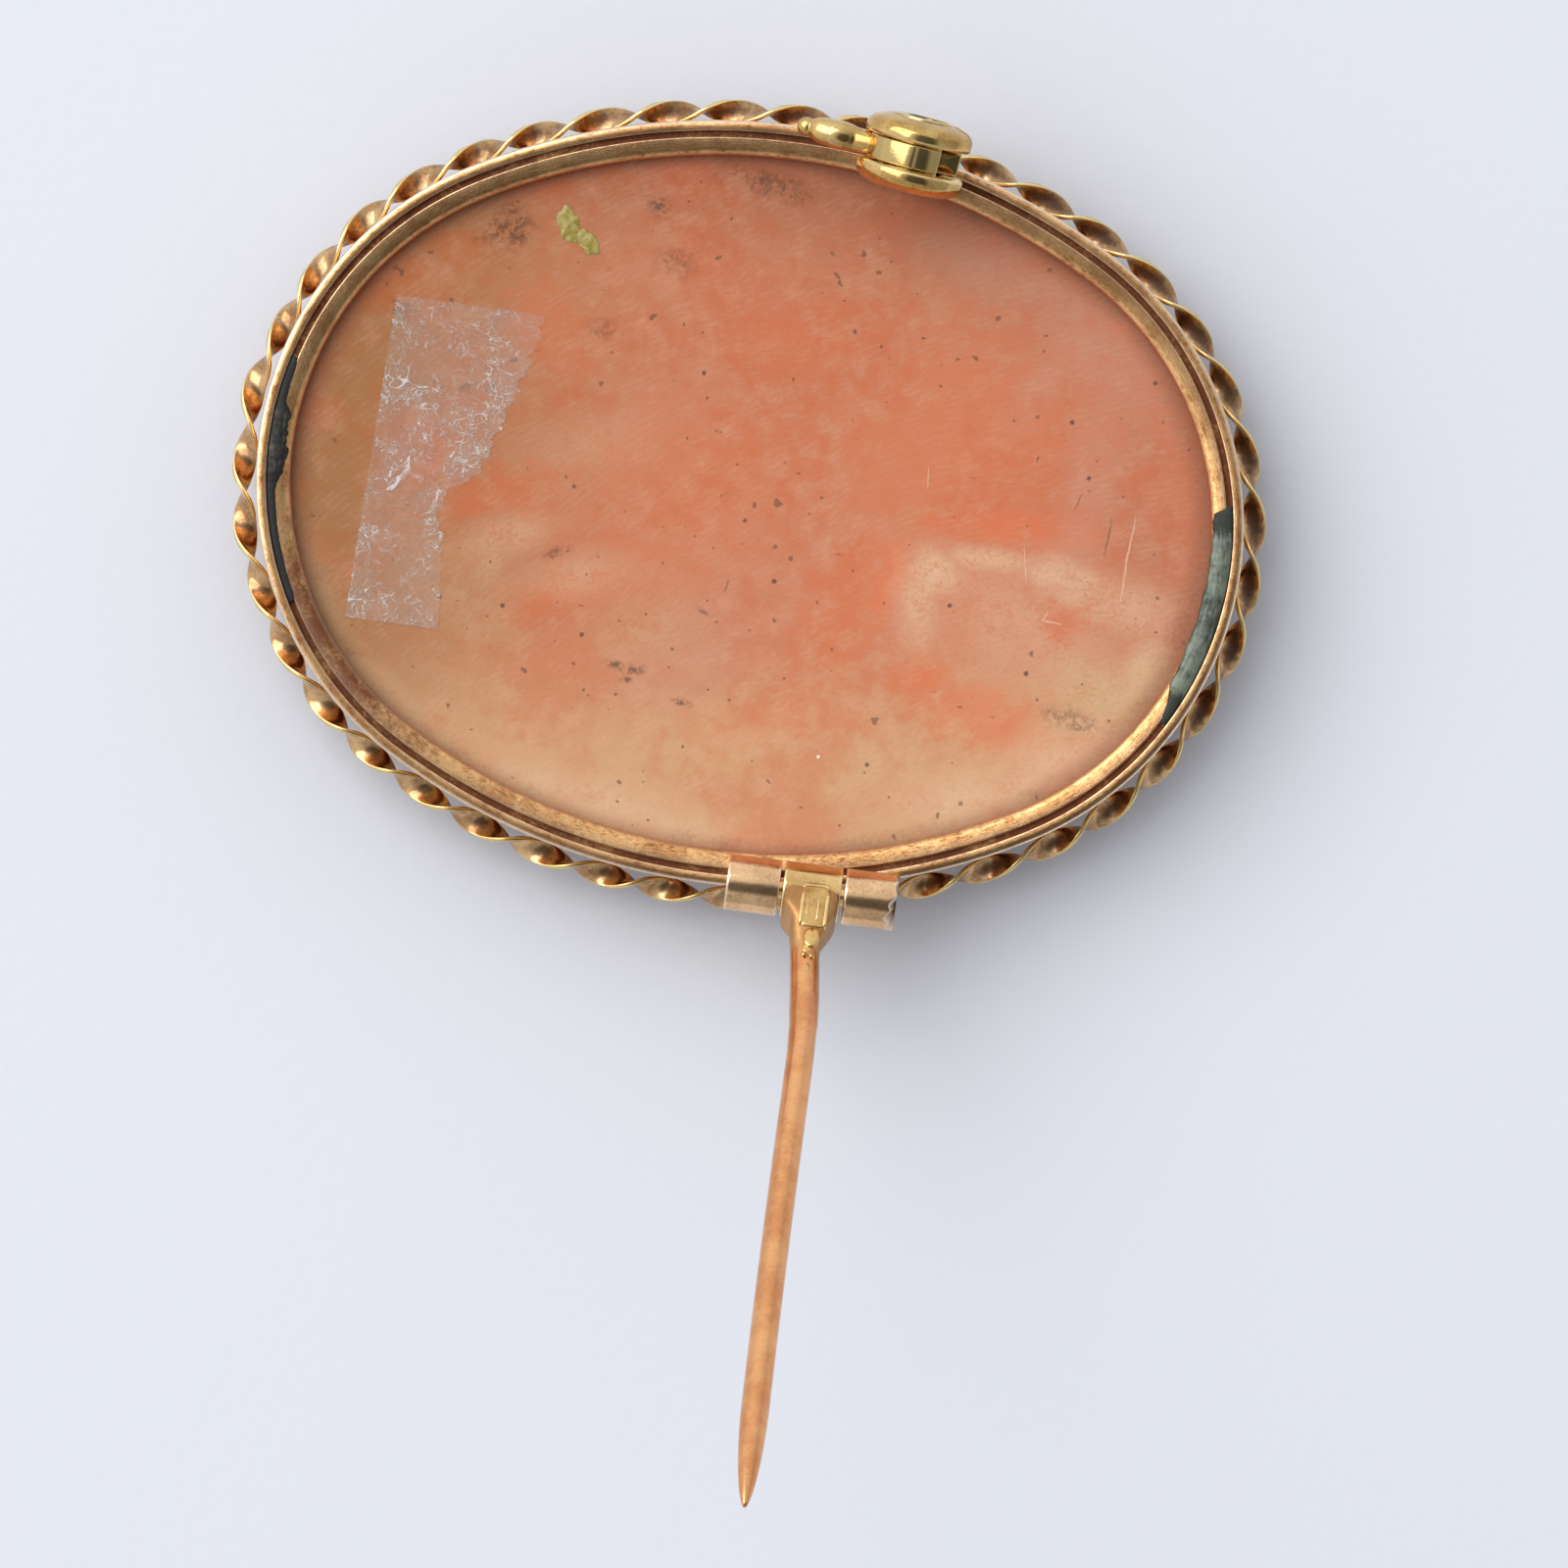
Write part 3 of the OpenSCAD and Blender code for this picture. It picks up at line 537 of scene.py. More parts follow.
ORANGE_SPOTS = [
    (10.2, 0.6, 4, 3.6, 0.8, 0.7), (6.0, -2.4, 80, 1.9, 0.8, 0.75), (7.9, -5.9, 0, 1.2, 0.8, 0.65),
    (10.4, -7.2, -8, 3.0, 1.1, 0.55), (8.5, 4.0, 20, 6.5, 4.0, 0.4), (4.6, -3.0, 70, 3.8, 1.6, 0.4),
    (-2.0, 0.5, 30, 4.5, 3.0, 0.3), (-9.0, 6.0, -40, 1.8, 1.2, 0.3), (1.2, 6.8, 10, 3.5, 1.6, 0.3),
    (-7.5, -4.9, 25, 2.4, 0.8, 0.3), (2.5, -8.5, 15, 3.2, 1.1, 0.25), (-9.6, -0.8, 15, 2.6, 0.9, 0.3),
]
ROUND_SPOTS = [(13.3, -3.1, 0, 0.85, 0.75, 0.75)]
# Pale whitish patches, mostly upper right: a whitish film on the shell with a painted sheen in it
HAZE_AND_SHEEN = [
    (13.2, 8.2, -38, 4.0, 1.5, 0.42), (9.6, 10.4, -15, 4.0, 0.9, 0.45), (13.6, 2.6, 85, 3.4, 1.0, 0.4),
    (11.2, 6.5, 60, 2.6, 0.8, 0.3), (-1.5, -6.5, 30, 3.5, 1.6, 0.25),
]
DARK_SMUDGES = [
    (-4.2, -7.3, -12, 0.6, 0.18, 1.0), (-3.4, -7.3, 0, 0.2, 0.18, 1.0), (-4.0, -7.8, 0, 0.24, 0.12, 0.8),
    (-1.7, -8.4, -10, 0.4, 0.1, 0.8), (-1.3, -4.6, -30, 0.24, 0.1, 0.8), (-11.3, 9.9, 30, 0.85, 0.7, 0.8),
    (-5.35, 11.6, 60, 0.35, 0.5, 0.9), (-1.3, 13.1, -8, 1.6, 0.45, 0.7), (14.3, -7.0, -10, 1.0, 0.45, 0.6),
    (-4.3, 9.4, 0, 0.6, 0.45, 0.5), (-15.1, 6.0, 20, 0.5, 0.4, 0.8), (-12.2, 3.2, 30, 0.4, 0.3, 0.9),
    (-7.0, 6.3, 0, 0.5, 0.35, 0.4), (-7.6, -3.0, 25, 0.5, 0.16, 0.7),
]
# Specks of the shell's back: middle x and y and half size
DARK_SPECKS = [(x, y, 0.13) for x, y in (
    (-0.11, -0.66), (1.41, -2.96), (8.68, -2.97), (12.15, -5.32), (-9.47, -5.46), (12.62, 5.12),
    (15.77, 7.17), (13.61, 2.95), (-6.1, -6.2), (3.3, 7.6), (-2.6, 5.1), (6.2, -9.9), (-7.24, -0.22),
)]
WHITE_SPECKS = [(4.17, -9.84, 0.09)]
# Scratches of the shell's back: middle x and y, direction in degrees, half length and half width
DARK_SCRATCHES = [(14.7, 0.66, 86, 0.95, 0.05), (-0.5, -3.4, 80, 0.3, 0.05), (13.3, 1.9, 75, 0.4, 0.04)]
LIGHT_SCRATCHES = [
    (15.64, -0.12, 88, 2.0, 0.045), (12.9, -3.1, -5, 0.5, 0.045), (12.6, -2.9, 70, 0.25, 0.04),
    (11.5, -0.9, 100, 0.9, 0.03), (7.1, 2.1, 95, 0.5, 0.03),
]

# Lead along its run: direction from the oval's end in degrees, shares of full width and height, and darkness
LEFT_LEAD = (
    (-15, 0.0, 0.1, 1), (-13, 0.1, 0.3, 1), (-7, 0.15, 0.6, 1), (-5, 0.65, 1.0, 0.5), (2, 0.85, 1.0, 0.4),
    (6, 0.6, 0.9, 0.6), (9, 0.12, 0.5, 1), (29, 0.05, 0.2, 1),
)
RIGHT_LEAD = (
    (-29.5, 0.0, 0.3, 1), (-26, 0.35, 0.5, 0.9), (-23, 0.85, 0.9, 0.1), (-16, 1.0, 1.0, 0.0),
    (-12, 1.0, 1.0, 0.2), (-7, 1.0, 1.0, 0.3), (-3, 1.0, 0.9, 0.0), (5, 0.95, 0.8, 0.1),
    (8, 0.9, 0.7, 0.9), (11, 0.7, 0.5, 1),
)
# Lead runs: side, metal with its light and deep tones, the oval's end in degrees, rows, seed and unevenness
LEADS = (
    ("left", "dark_lead", (104, 102, 94), (34, 32, 30), 180, LEFT_LEAD, 3.0, 0.22),
    ("right", "greenish_lead", (124, 132, 117), (50, 54, 46), 0, RIGHT_LEAD, 6.0, 0.06),
)


def lead_material(name, light, deep):
    """Dull lead: two tones in clouds and strokes along the run, darker and rougher where it is marked so."""
    made, n = material(name)
    clouds = n.noise(n.place(), 1.6, 4.0, 0.65)
    fine = n.noise(n.vector("MULTIPLY", n.lay(), (9.0, 1.2, 1.0)), 1.0, 4.0, 0.65)
    dark = n.mark("dark")
    tone = n.mix((clouds * 0.6 + fine * 0.5 - dark * 0.4).rise(0.3, 0.62), paint(*deep), paint(*light))
    n.surface(Base_Color=tone, Metallic=0.5 - dark * 0.3, Roughness=0.42 + (fine - 0.5) * 0.3 + dark * 0.2,
              Normal=n.bump(fine, 0.02, 0.8))
    return made


def tape_material():
    """Clear film with white paper fibres stuck to it: fibres are thin lines where warped noise is level."""
    made, n = material("tape_with_paper")
    here = n.place()

    def threads(scale, shift):
        field = n.noise(n.vector("ADD", here, (shift, shift, 0.0)), scale, 1.3, 0.4, 1.9)
        return (field - 0.5).size().rise(0.013, 0.002)

    found = functools.reduce(Value.most, [threads(*row) for row in ((0.8, 0.0), (1.2, 7.0), (1.7, 13.0))])
    clump = n.noise(here, 0.6, 2.0, 0.5, 0.4)
    fine = n.noise(here, 8.0, 3.0, 0.7)
    fibres = found * (clump.rise(0.34, 0.62) * 0.7 + 0.2)
    haze = clump.rise(0.35, 0.7) * 0.07 + 0.17
    cover = (haze + fibres * 0.44 + (fine - 0.5) * 0.05).rise(0.0, 1.0)
    tone = n.mix(fibres, paint(230, 206, 188), paint(252, 248, 244))
    relief = n.bump(fibres * 0.7 + fine * 0.3, 0.03, 0.8)
    n.surface(Base_Color=tone, Roughness=0.35 + fibres * 0.3, Alpha=cover, Normal=relief)
    return made


def glue_material():
    made, n = material("old_glue")
    fine = n.noise(n.place(), 4.0, 4.0, 0.6)
    tone = n.mix(fine.rise(0.35, 0.65), paint(160, 138, 62), paint(192, 174, 104))
    n.surface(Base_Color=tone, Roughness=0.25, Normal=n.bump(fine, 0.06, 0.8), Subsurface_Weight=0.2,
              Subsurface_Radius=(1.0, 0.8, 0.3), Subsurface_Scale=0.0004)
    return made


def floor_material():
    made, n = material("pale_paper")
    here = n.place()
    clouds = n.noise(here, 0.02, 3.0, 0.5)
    fine = n.noise(here, 1.5, 3.0, 0.6)
    tone = n.mix(clouds, paint(229, 231, 238), paint(234, 236, 242))
    n.surface(Base_Color=tone, Roughness=0.85, Normal=n.bump(fine, 0.05, 0.35))
    return made


# Pieces

def make_setting(gold):
    """Band, groove, bezel, ledge and lip: one rounded profile carried along the oval, slightly uneven."""
    bezel_edge = bezel_top(BEZEL_IN)
    d, z = rounded_loop([
        (0, BAND_FRONT, 0.06), (0, RIM_Z - 0.1, 0.06), (-0.06, RIM_Z - 0.04, 0.04), (-0.2, RIM_Z, 0.1),
        (GROOVE_OUT, RIM_Z - 0.02, 0.05), (GROOVE_OUT, GROOVE_FLOOR, 0.03), (GROOVE_IN, GROOVE_FLOOR, 0.03),
        (GROOVE_IN, BEZEL_Z, 0.06), (BEZEL_IN, bezel_edge, 0.28), (BEZEL_IN, LEDGE_Z, 0.12),
        (SEAT_D, LEDGE_Z, 0.02), (SEAT_D, LIP_BACK_Z, 0.02), (LIP_D, LIP_BACK_Z, 0.03),
        (LIP_D, LIP_FRONT_Z, 0.12), (GROOVE_OUT, LIP_FRONT_Z, 0.02), (GROOVE_OUT, BAND_FRONT, 0.06),
    ]).T[:, None]
    share = np.linspace(0, 1, 900, endpoint=False)[:, None]
    a = facing(share)
    degrees = np.degrees(a)
    from_right = np.mod(degrees + 180, 360) - 180
    sway = (0.014 * ripple(share, 2.0) + 0.1 * bell(from_right, 0, 70)) * (d < SEAT_D)
    x, y = oval_at(a, d + sway)
    lift = 0.01 * ripple(share, 5.0, ((5, 1.0), (17, 0.5), (29, 0.4))) - 0.01
    points = spots(x, y, z + np.where(z > LEDGE_Z + 0.1, lift, 0))

    # The groove is darkened; the bezel's inner wall is darkened as painted shade. The top faces are darkened
    # towards the lower left: dark streaks, with painted shade where the gold mirrors the dark room
    in_groove = (d < GROOVE_OUT + 0.03) & (d > GROOVE_IN - 0.03) & (z < BEZEL_Z - 0.02)
    inner = (d < BEZEL_IN + 0.02) & (z < BEZEL_Z - 0.3) & (z > LEDGE_Z - 0.1)
    side_shade_and_dirt = np.where(d < GROOVE_IN, 0.85, 0.5) * bell(degrees, 218, 40) * (z > BEZEL_Z - 0.3)
    hollow = np.where(in_groove, 0.85, np.where(inner, 0.5, side_shade_and_dirt))
    # Worn corners of the profile, brightened with a painted glint: d and z, spreads along both and wear
    corners = (
        (-0.04, RIM_Z - 0.03, 0.07, 0.09, 1.1), (GROOVE_OUT, RIM_Z, 0.05, 0.04, 0.7),
        (BEZEL_IN, bezel_edge - 0.1, 0.1, 0.12, 0.4), (GROOVE_IN, BEZEL_Z, 0.05, 0.05, 0.5),
    )
    worn_edge_glint = sum(wear * bell(d, at_d, wide) * bell(z, at_z, high) for at_d, at_z, wide, high, wear in corners)
    lay = spots(d + z, np.cos(TURN * share), np.sin(TURN * share))
    piece = Piece("bezel_and_band").grid(points, "joined", hollow=hollow, edge=np.clip(worn_edge_glint, 0, 1), lay=lay)
    piece.make(gold, "brooch", "frame_gold", "setting")


# The ribbon's dents: direction in degrees, spread and share of the full depth
DENTS = ((172, 5, 1.0), (186, 4, 0.55), (196, 5, 0.7))
DENT_DEPTH = 0.22


def dents(a):
    """How far the ribbon is pushed out where it faces a: three bell curves."""
    degrees = np.degrees(np.mod(a, TURN))
    return DENT_DEPTH * sum(depth * bell(degrees, at, spread) for at, spread, depth in DENTS)


def make_ribbon(gold):
    """Twisted ribbon: flat, thin in the middle and square at its edges, turned steadily round the oval."""
    rings, section = HALF_TURNS * 30, 28
    share = (np.arange(rings) / rings)[:, None]
    a, around = facing(share), angles(section)
    u = np.cos(around)
    full = (1 - np.abs(u) ** 8) ** (1 / 8) * np.sign(np.round(np.sin(around), 9))
    across, thick = u * RIBBON_W / 2, full * RIBBON_T / 2 * (0.42 + 0.58 * u**2)
    wander = math.radians(9) * ripple(share, 1.0, ((5, 1.0), (11, 0.8), (19, 0.6)))
    steady = RIBBON_START + math.pi * HALF_TURNS * share
    twist = steady - RIBBON_LINGER / 2 * np.sin(2 * steady) + wander
    narrow = 1 + 0.02 * ripple(share, 3.0, ((4, 1.0), (9, 0.7), (23, 0.5)))
    out = (across * np.cos(twist) - thick * np.sin(twist)) * narrow
    up = (across * np.sin(twist) + thick * np.cos(twist)) * narrow
    x, y = oval_at(a, RIBBON_D + dents(a))
    points = spots(x + out * np.cos(a), y + out * np.sin(a), RIBBON_Z + up)
    # Painted highlight on the ribbon's square edges, over their wear
    worn_edge_glint = soft((np.abs(u) - 0.86) / 0.1)
    # The face is darkened across the middle of its width, as patina and painted shade in the cup, more on the
    # right than on the left as painted shade away from the light, and unevenly along the run
    side_shade_and_dirt = (1 - u**2) * (0.62 + 0.2 * np.cos(a - 0.5) + 0.15 * np.sin(steady * 2 + 1))
    piece = Piece("twisted_border").grid(points, "open", edge=worn_edge_glint, hollow=side_shade_and_dirt)
    # An odd number of half turns brings each point of the section round to the opposite one.
    last, first = (rings - 1) * section + np.arange(section), np.roll(np.arange(section), -section // 2)
    seam = np.stack([last, np.roll(last, -1), np.roll(first, -1), first], axis=-1)
    turned_over = piece.faces[0] != [0, 1, section + 1, section]
    piece.faces += (seam[:, ::-1] if turned_over else seam).tolist()
    piece.make(gold, "brooch", "border_gold", "rope_border")


def petal_middle(a, phase):
    """1 at the middles of five petals and 0 between them: the size of a cosine."""
    return np.abs(np.cos(2.5 * (a - math.radians(phase))))


def petals(radius, height, phase, r, a):
    """Ring of five cupped petals: scalloped edge, height by its cup, a curled lip and fine veins."""
    middle = petal_middle(a, phase)
    edge = radius * (0.8 + 0.2 * np.sqrt(middle))
    u = np.minimum(1, r / edge)
    body = height * (0.72 + 0.28 * u) * (0.8 + 0.2 * middle) * soft((edge - r) / 0.8)
    body = body - 0.1 * bell(edge - r, 1.05, 0.3) * (body > 0.2)
    return body - 0.035 * (0.5 + 0.5 * np.cos(60 * a)) * u**2 * (body > 0.2)


# Blossoms: middle as shares of the shell's half sizes, radius as a share of the rose's
BLOSSOMS = ((0.67, -0.1, 0.38), (-0.67, 0.1, 0.38))
# Leaves: middle as before, direction in degrees, half length and half width as shares of the rose's radius
LEAVES = (
    (0.40, 0.50, 32, 0.52, 0.21), (0.44, -0.52, -30, 0.50, 0.20),
    (0.10, 0.70, 88, 0.34, 0.17), (0.72, 0.24, 62, 0.34, 0.15),
)


def leaf(x, y, at_x, at_y, direction, half_len, half_wide):
    """Pointed leaf: room left across falls with the square of the way along; midrib and side veins sunk."""
    along, across = along_and_across(x - at_x * SHELL_L, y - at_y * SHELL_W, direction)
    along, across = along / (half_len * ROSE_R), np.abs(across) / (half_wide * ROSE_R)
    body = LEAF_H * soft((1 - along**2 - across) / 0.3) * (0.7 + 0.3 * np.minimum(1, 4 * across))
    return body - 0.05 * (0.5 + 0.5 * np.cos(26 * (along - 0.35 * across))) * (body > 0.15)


def carving(x, y):
    """Height of the carving above the ground: the highest of heart, petals, blossoms and leaves.

    Each leaf stands a second time opposite, turned half round.
    """
    r, a = np.hypot(x, y), np.arctan2(y, x)
    found = [PETAL_H * soft((2.6 - r) / 1.1)]
    found.append(petals(0.7 * ROSE_R, PETAL_H, 18, r, a))
    found.append(petals(ROSE_R, 0.66 * PETAL_H, 54, r, a))
    for at_x, at_y, size in BLOSSOMS:
        bx, by = x - at_x * SHELL_L, y - at_y * SHELL_W
        found.append(petals(size * ROSE_R, 1.2 * LEAF_H, 18, np.hypot(bx, by), np.arctan2(by, bx)))
    found += [leaf(half * x, half * y, *row) for row in LEAVES for half in (1, -1)]
    return np.maximum.reduce(found)


def heart_lines(x, y):
    """Depth of the lines that part the rose's inner petals: three scalloped rings and the heart's coil."""
    r, a = np.hypot(x, y), np.arctan2(y, x)
    coil = np.mod(r / 0.55 - a / TURN, 1.0)
    cut = bell(coil, 0.5, 0.16) * (r < 1.4) * (r > 0.25)
    for share, phase in ((0.22, 10), (0.36, 46), (0.52, 82)):
        edge = share * ROSE_R * (0.84 + 0.16 * np.sqrt(petal_middle(a, phase)))
        cut = np.maximum(cut, bell(r, edge, 0.16))
    return 0.3 * cut


def shell_back(u):
    """Height of the shell's hollow back at the share u of the way to its edge."""
    return SHELL_BACK_Z - BACK_HOLLOW * (1 - u * u)


def make_shell(shell):
    """Shell plate: rows go out over the carved front, round the edge and back in over the hollow back."""
    out_x, out_y = oval_at(facing(np.linspace(0, 1, 384, endpoint=False)), SHELL_D)
    u_front, u_back = np.linspace(0, 1, 127)[1:, None], np.linspace(1, 0, 60)[:-1, None]
    x, y = u_front * out_x, u_front * out_y
    ground = GROUND_DEPTH + (SHELL_FRONT_Z - GROUND_DEPTH) * np.minimum(1, u_front / SEAT_SHARE) ** 2
    raised = np.maximum(carving(x, y), 0) * (1 - soft((u_front - 0.9) / (CARVED_SHARE - 0.9)))
    front_z = np.maximum(0, ground - raised) + heart_lines(x, y)
    edge_z = np.array([3.05, 3.6, 4.2, 4.55])[:, None]
    u = np.concatenate([u_front, np.ones_like(edge_z), u_back])
    z = np.concatenate([front_z, np.concatenate([edge_z, shell_back(u_back)]) * np.ones_like(out_x)])
    relief = np.zeros(z.shape)
    relief[:len(u_front)] = raised / PETAL_H
    on_back = np.where(np.arange(len(u)) < len(u_front), 0.0, 1.0)[:, None]
    piece = Piece("shell_plate").grid(spots(u * out_x, u * out_y, z), relief=relief, back=on_back, share=u)
    piece.make(shell, "brooch", "shell", "cameo_shell")


def on_shell(x, y):
    """Height of the shell's back over x and y, by the share of the way from the middle to the edge."""
    edge_x, edge_y = oval_at(np.linspace(0, TURN, 1441), SHELL_D)
    angle = np.unwrap(np.arctan2(edge_y, edge_x))
    edge = np.interp(np.mod(np.arctan2(y, x), TURN), angle, np.hypot(edge_x, edge_y), period=TURN)
    return shell_back(np.hypot(x, y) / edge)


def tube_section():
    """Direction and outer radius round a soldered knuckle: of the tube or its seat the further one."""
    t = angles(96).T
    c, s = np.maximum(np.abs(np.cos(t)), 1e-6), np.maximum(np.abs(np.sin(t)), 1e-6)
    seat = np.where(np.sin(t) < 0, np.minimum(SEAT_HALF / c, (HINGE[2] - RIM_Z) / s), 0)
    reach = np.maximum(TUBE_R, seat)
    return t, np.minimum((np.roll(reach, 1) + reach + np.roll(reach, -1)) / 3, reach)


def knuckle(piece, middle_x, length, t, reach, swing=0.0, tear=0.0):
    """Tube with a bore: a rounded rectangle from bore to outer radius, carried round the axis."""
    share, w = rounded_loop([(-0.5, 0, 0.02), (0.5, 0, 0.02), (0.5, 1, 0.06), (-0.5, 1, 0.06)]).T[:, None]
    degrees = np.degrees(t)
    r = BORE_R + (reach - BORE_R) * w
    along = share * length - tear * soft(share * 2) * (0.4 + 0.6 * w)
    points = spots(middle_x + along, r * np.cos(t), r * np.sin(t))
    # Painted reflection: a dark band along the tube where it mirrors the dark room overhead, with a thin dark
    # line above it
    painted_dark_band = (0.4 * bell(degrees, 112, 22) + 0.3 * bell(degrees, 70, 9)) * (w > 0.9)
    # Painted shade inside the torn end
    torn = 1.2 * (share > 0.3) * (w < 0.985) * (tear > 0.12)
    # The bore and the end faces are darkened as painted shade between the parts
    hollow = functools.reduce(np.maximum, ((w < 0.5) * 1.0, (np.abs(share) > 0.499) * 0.5, painted_dark_band, torn))
    # Painted highlight round the rims of the ends
    rim = bell(np.abs(share), 0.5, 0.05) * (w > 0.8)
    piece.grid(at_hinge(points, swing), "joined", edge=rim, hollow=hollow)


def make_hinge(rose, solder):
    """Two soldered knuckles, one with a torn end, the rivet through them and the turning knuckle between."""
    t, reach = tube_section()
    middle = (MIDDLE_LEN + OUTER_LEN) / 2 + KNUCKLE_GAP
    degrees = np.degrees(t)
    notch = 0.34 * bell(degrees, 128, 40, 4) * (0.8 + 0.2 * np.sin(9 * t))
    torn = notch + 0.1 * np.abs(np.sin(5 * t)) * (degrees < 230)
    side = Piece("side_knuckles")
    knuckle(side, -middle, OUTER_LEN, t, reach)
    knuckle(side, middle, OUTER_LEN, t, reach, tear=torn)
    side.make(rose, "brooch", "rose_gold", "hinge_knuckles")

    span = MIDDLE_LEN / 2 + KNUCKLE_GAP + OUTER_LEN - 0.1
    x = np.concatenate([[-span, -span + 0.03], np.linspace(-span + 0.1, span - 0.1, 9), [span - 0.03, span]])
    r = np.full(x.shape, RIVET_R)
    r[[0, -1]], r[[1, -2]] = 0.6 * RIVET_R, 0.9 * RIVET_R
    x, r, around = x[:, None], r[:, None], angles(32)
    points = spots(x, r * np.cos(around), r * np.sin(around))
    rivet = Piece("rivet").grid(at_hinge(points), edge=0, hollow=0.2)
    rivet.make(rose, "brooch", "rose_gold", "hinge_rivet")

    turning = Piece("pin_knuckle")
    knuckle(turning, 0.0, MIDDLE_LEN, t, np.full(t.shape, TUBE_R), OPEN_ANGLE)
    turning.make(solder, "pin", "pin_gold", "pin_stem")


def pin_line():
    """The closed pin's sections: y, left and right side, half height and squareness of each."""
    reach_x, back, up = turned(CATCH - HINGE, 2, -HINGE_YAW)
    reach = math.hypot(back, up)
    knee_x = LEAN_LEN * math.tan(LEAN)
    aim = math.atan2(reach_x - knee_x, reach - LEAN_LEN)
    tip_y = LEAN_LEN + (math.hypot(reach_x - knee_x, reach - LEAN_LEN) + TIP_PAST) * math.cos(aim)
    point_len = POINT_LEN * math.cos(aim)
    point_y = tip_y - point_len
    y = np.concatenate([np.linspace(0.5, ROOT_END, 40), np.linspace(ROOT_END + 0.12, point_y, 90),
                        np.linspace(point_y + 0.1, tip_y - 0.02, 30)])[:, None]
    x = np.where(y < LEAN_LEN, y * math.tan(LEAN), knee_x + (y - LEAN_LEN) * math.tan(aim))
    x = x - 0.05 * bell(y, LEAN_LEN, 1.2) - ROOT_SHIFT * (1 - (y / tip_y) ** 3)
    round_r = NECK_R + (WIRE_R - NECK_R) * soft((y - 6.0) / 2.0)
    left_over = np.clip((tip_y - y) / point_len, 0, 1)
    pointed = WIRE_R * (0.08 + 0.92 * (1 - (1 - left_over) ** 2) ** 0.65)
    round_r = np.where(y > point_y, pointed, round_r)
    into_wire = soft((y - ROOT_START) / (ROOT_END - ROOT_START))
    right = ROOT_HALF + (x + round_r - ROOT_HALF) * into_wire
    left = -ROOT_HALF + (x - round_r + ROOT_HALF) * soft((y - ROOT_START) / 0.85)
    high = ROOT_HIGH + (round_r - ROOT_HIGH) * into_wire
    return y, left, right, high, 2 + 5 * (1 - into_wire)


# Raised parts of the pin's root: middle, half sizes, power, slope along the pin and dirt-and-shade. Above
# nought it darkens the block as painted shade; the block's painted highlight is one half less this value
ROOT_BLOCKS = (
    ((0.18, 1.6, -0.87), (0.57, 0.9, 0.2), 6.0, 0.28, 0.5),
    ((-0.32, 1.76, -0.93), (0.08, 0.7, 0.21), 5.0, 0.28, -0.1),
    ((0.68, 1.76, -0.93), (0.08, 0.7, 0.21), 5.0, 0.28, -0.1),
    ((0.18, 0.6, -1.04), (0.57, 0.15, 0.13), 5.0, 0.0, 0.1),
    ((0.34, 1.74, -0.91), (0.05, 0.5, 0.2), 4.0, 0.28, -0.2),
    ((-0.1, 1.66, -0.9), (0.04, 0.42, 0.2), 4.0, 0.28, -0.1),
)
# Solder on the pin's root: middle, half sizes and power
ROOT_DROPS = (
    ((0.22, 2.9, -0.66), (0.34, 0.56, 0.14), 2.4), ((0.0, 3.86, -0.6), (0.15, 0.15, 0.15), 2.0),
    ((0.3, 3.86, -0.56), (0.14, 0.14, 0.14), 2.0), ((0.1, 3.4, -0.56), (0.2, 0.3, 0.08), 2.5),
    ((0.2, 4.5, -0.52), (0.12, 0.35, 0.1), 2.0),
)


def make_pin(pin_gold, solder):
    """Pin: one section carried from the flared root to the point, with its tongue, plate and solder beads."""
    y, left, right, high, power = pin_line()
    across, up = oval_ring((right - left) / 2, high, power, 40)
    points = at_hinge(spots((left + right) / 2 + across, y, up), OPEN_ANGLE)
    stem = Piece("pin_wire").grid(points, edge=0, hollow=0.72 * soft((4.6 - y) / 1.6))
    stem.make(pin_gold, "pin", "pin_gold", "pin_stem")

    tongue = Piece("pin_tongue")
    for middle, half, power, slope, dirt_and_shade in ROOT_BLOCKS:
        block = rounded_box(middle, half, power, 26, 44)
        block[..., 2] += slope * (block[..., 1] - middle[1])
        tongue.grid(at_hinge(block, OPEN_ANGLE), edge=0.5 - dirt_and_shade, hollow=max(dirt_and_shade, 0))
    tongue.make(solder, "pin", "pin_gold", "pin_stem")

    drops = Piece("solder_drops")
    for middle, half, power in ROOT_DROPS:
        drops.grid(at_hinge(rounded_box(middle, half, power, 20, 28), OPEN_ANGLE), edge=0, hollow=0)
    drops.make(solder, "pin", "pin_gold", "pin_stem")


def slot_side(r):
    """Direction of the slot's lower side at the radius r: the slot is as low as the chamber."""
    return np.arcsin(CHAMBER_R / r)


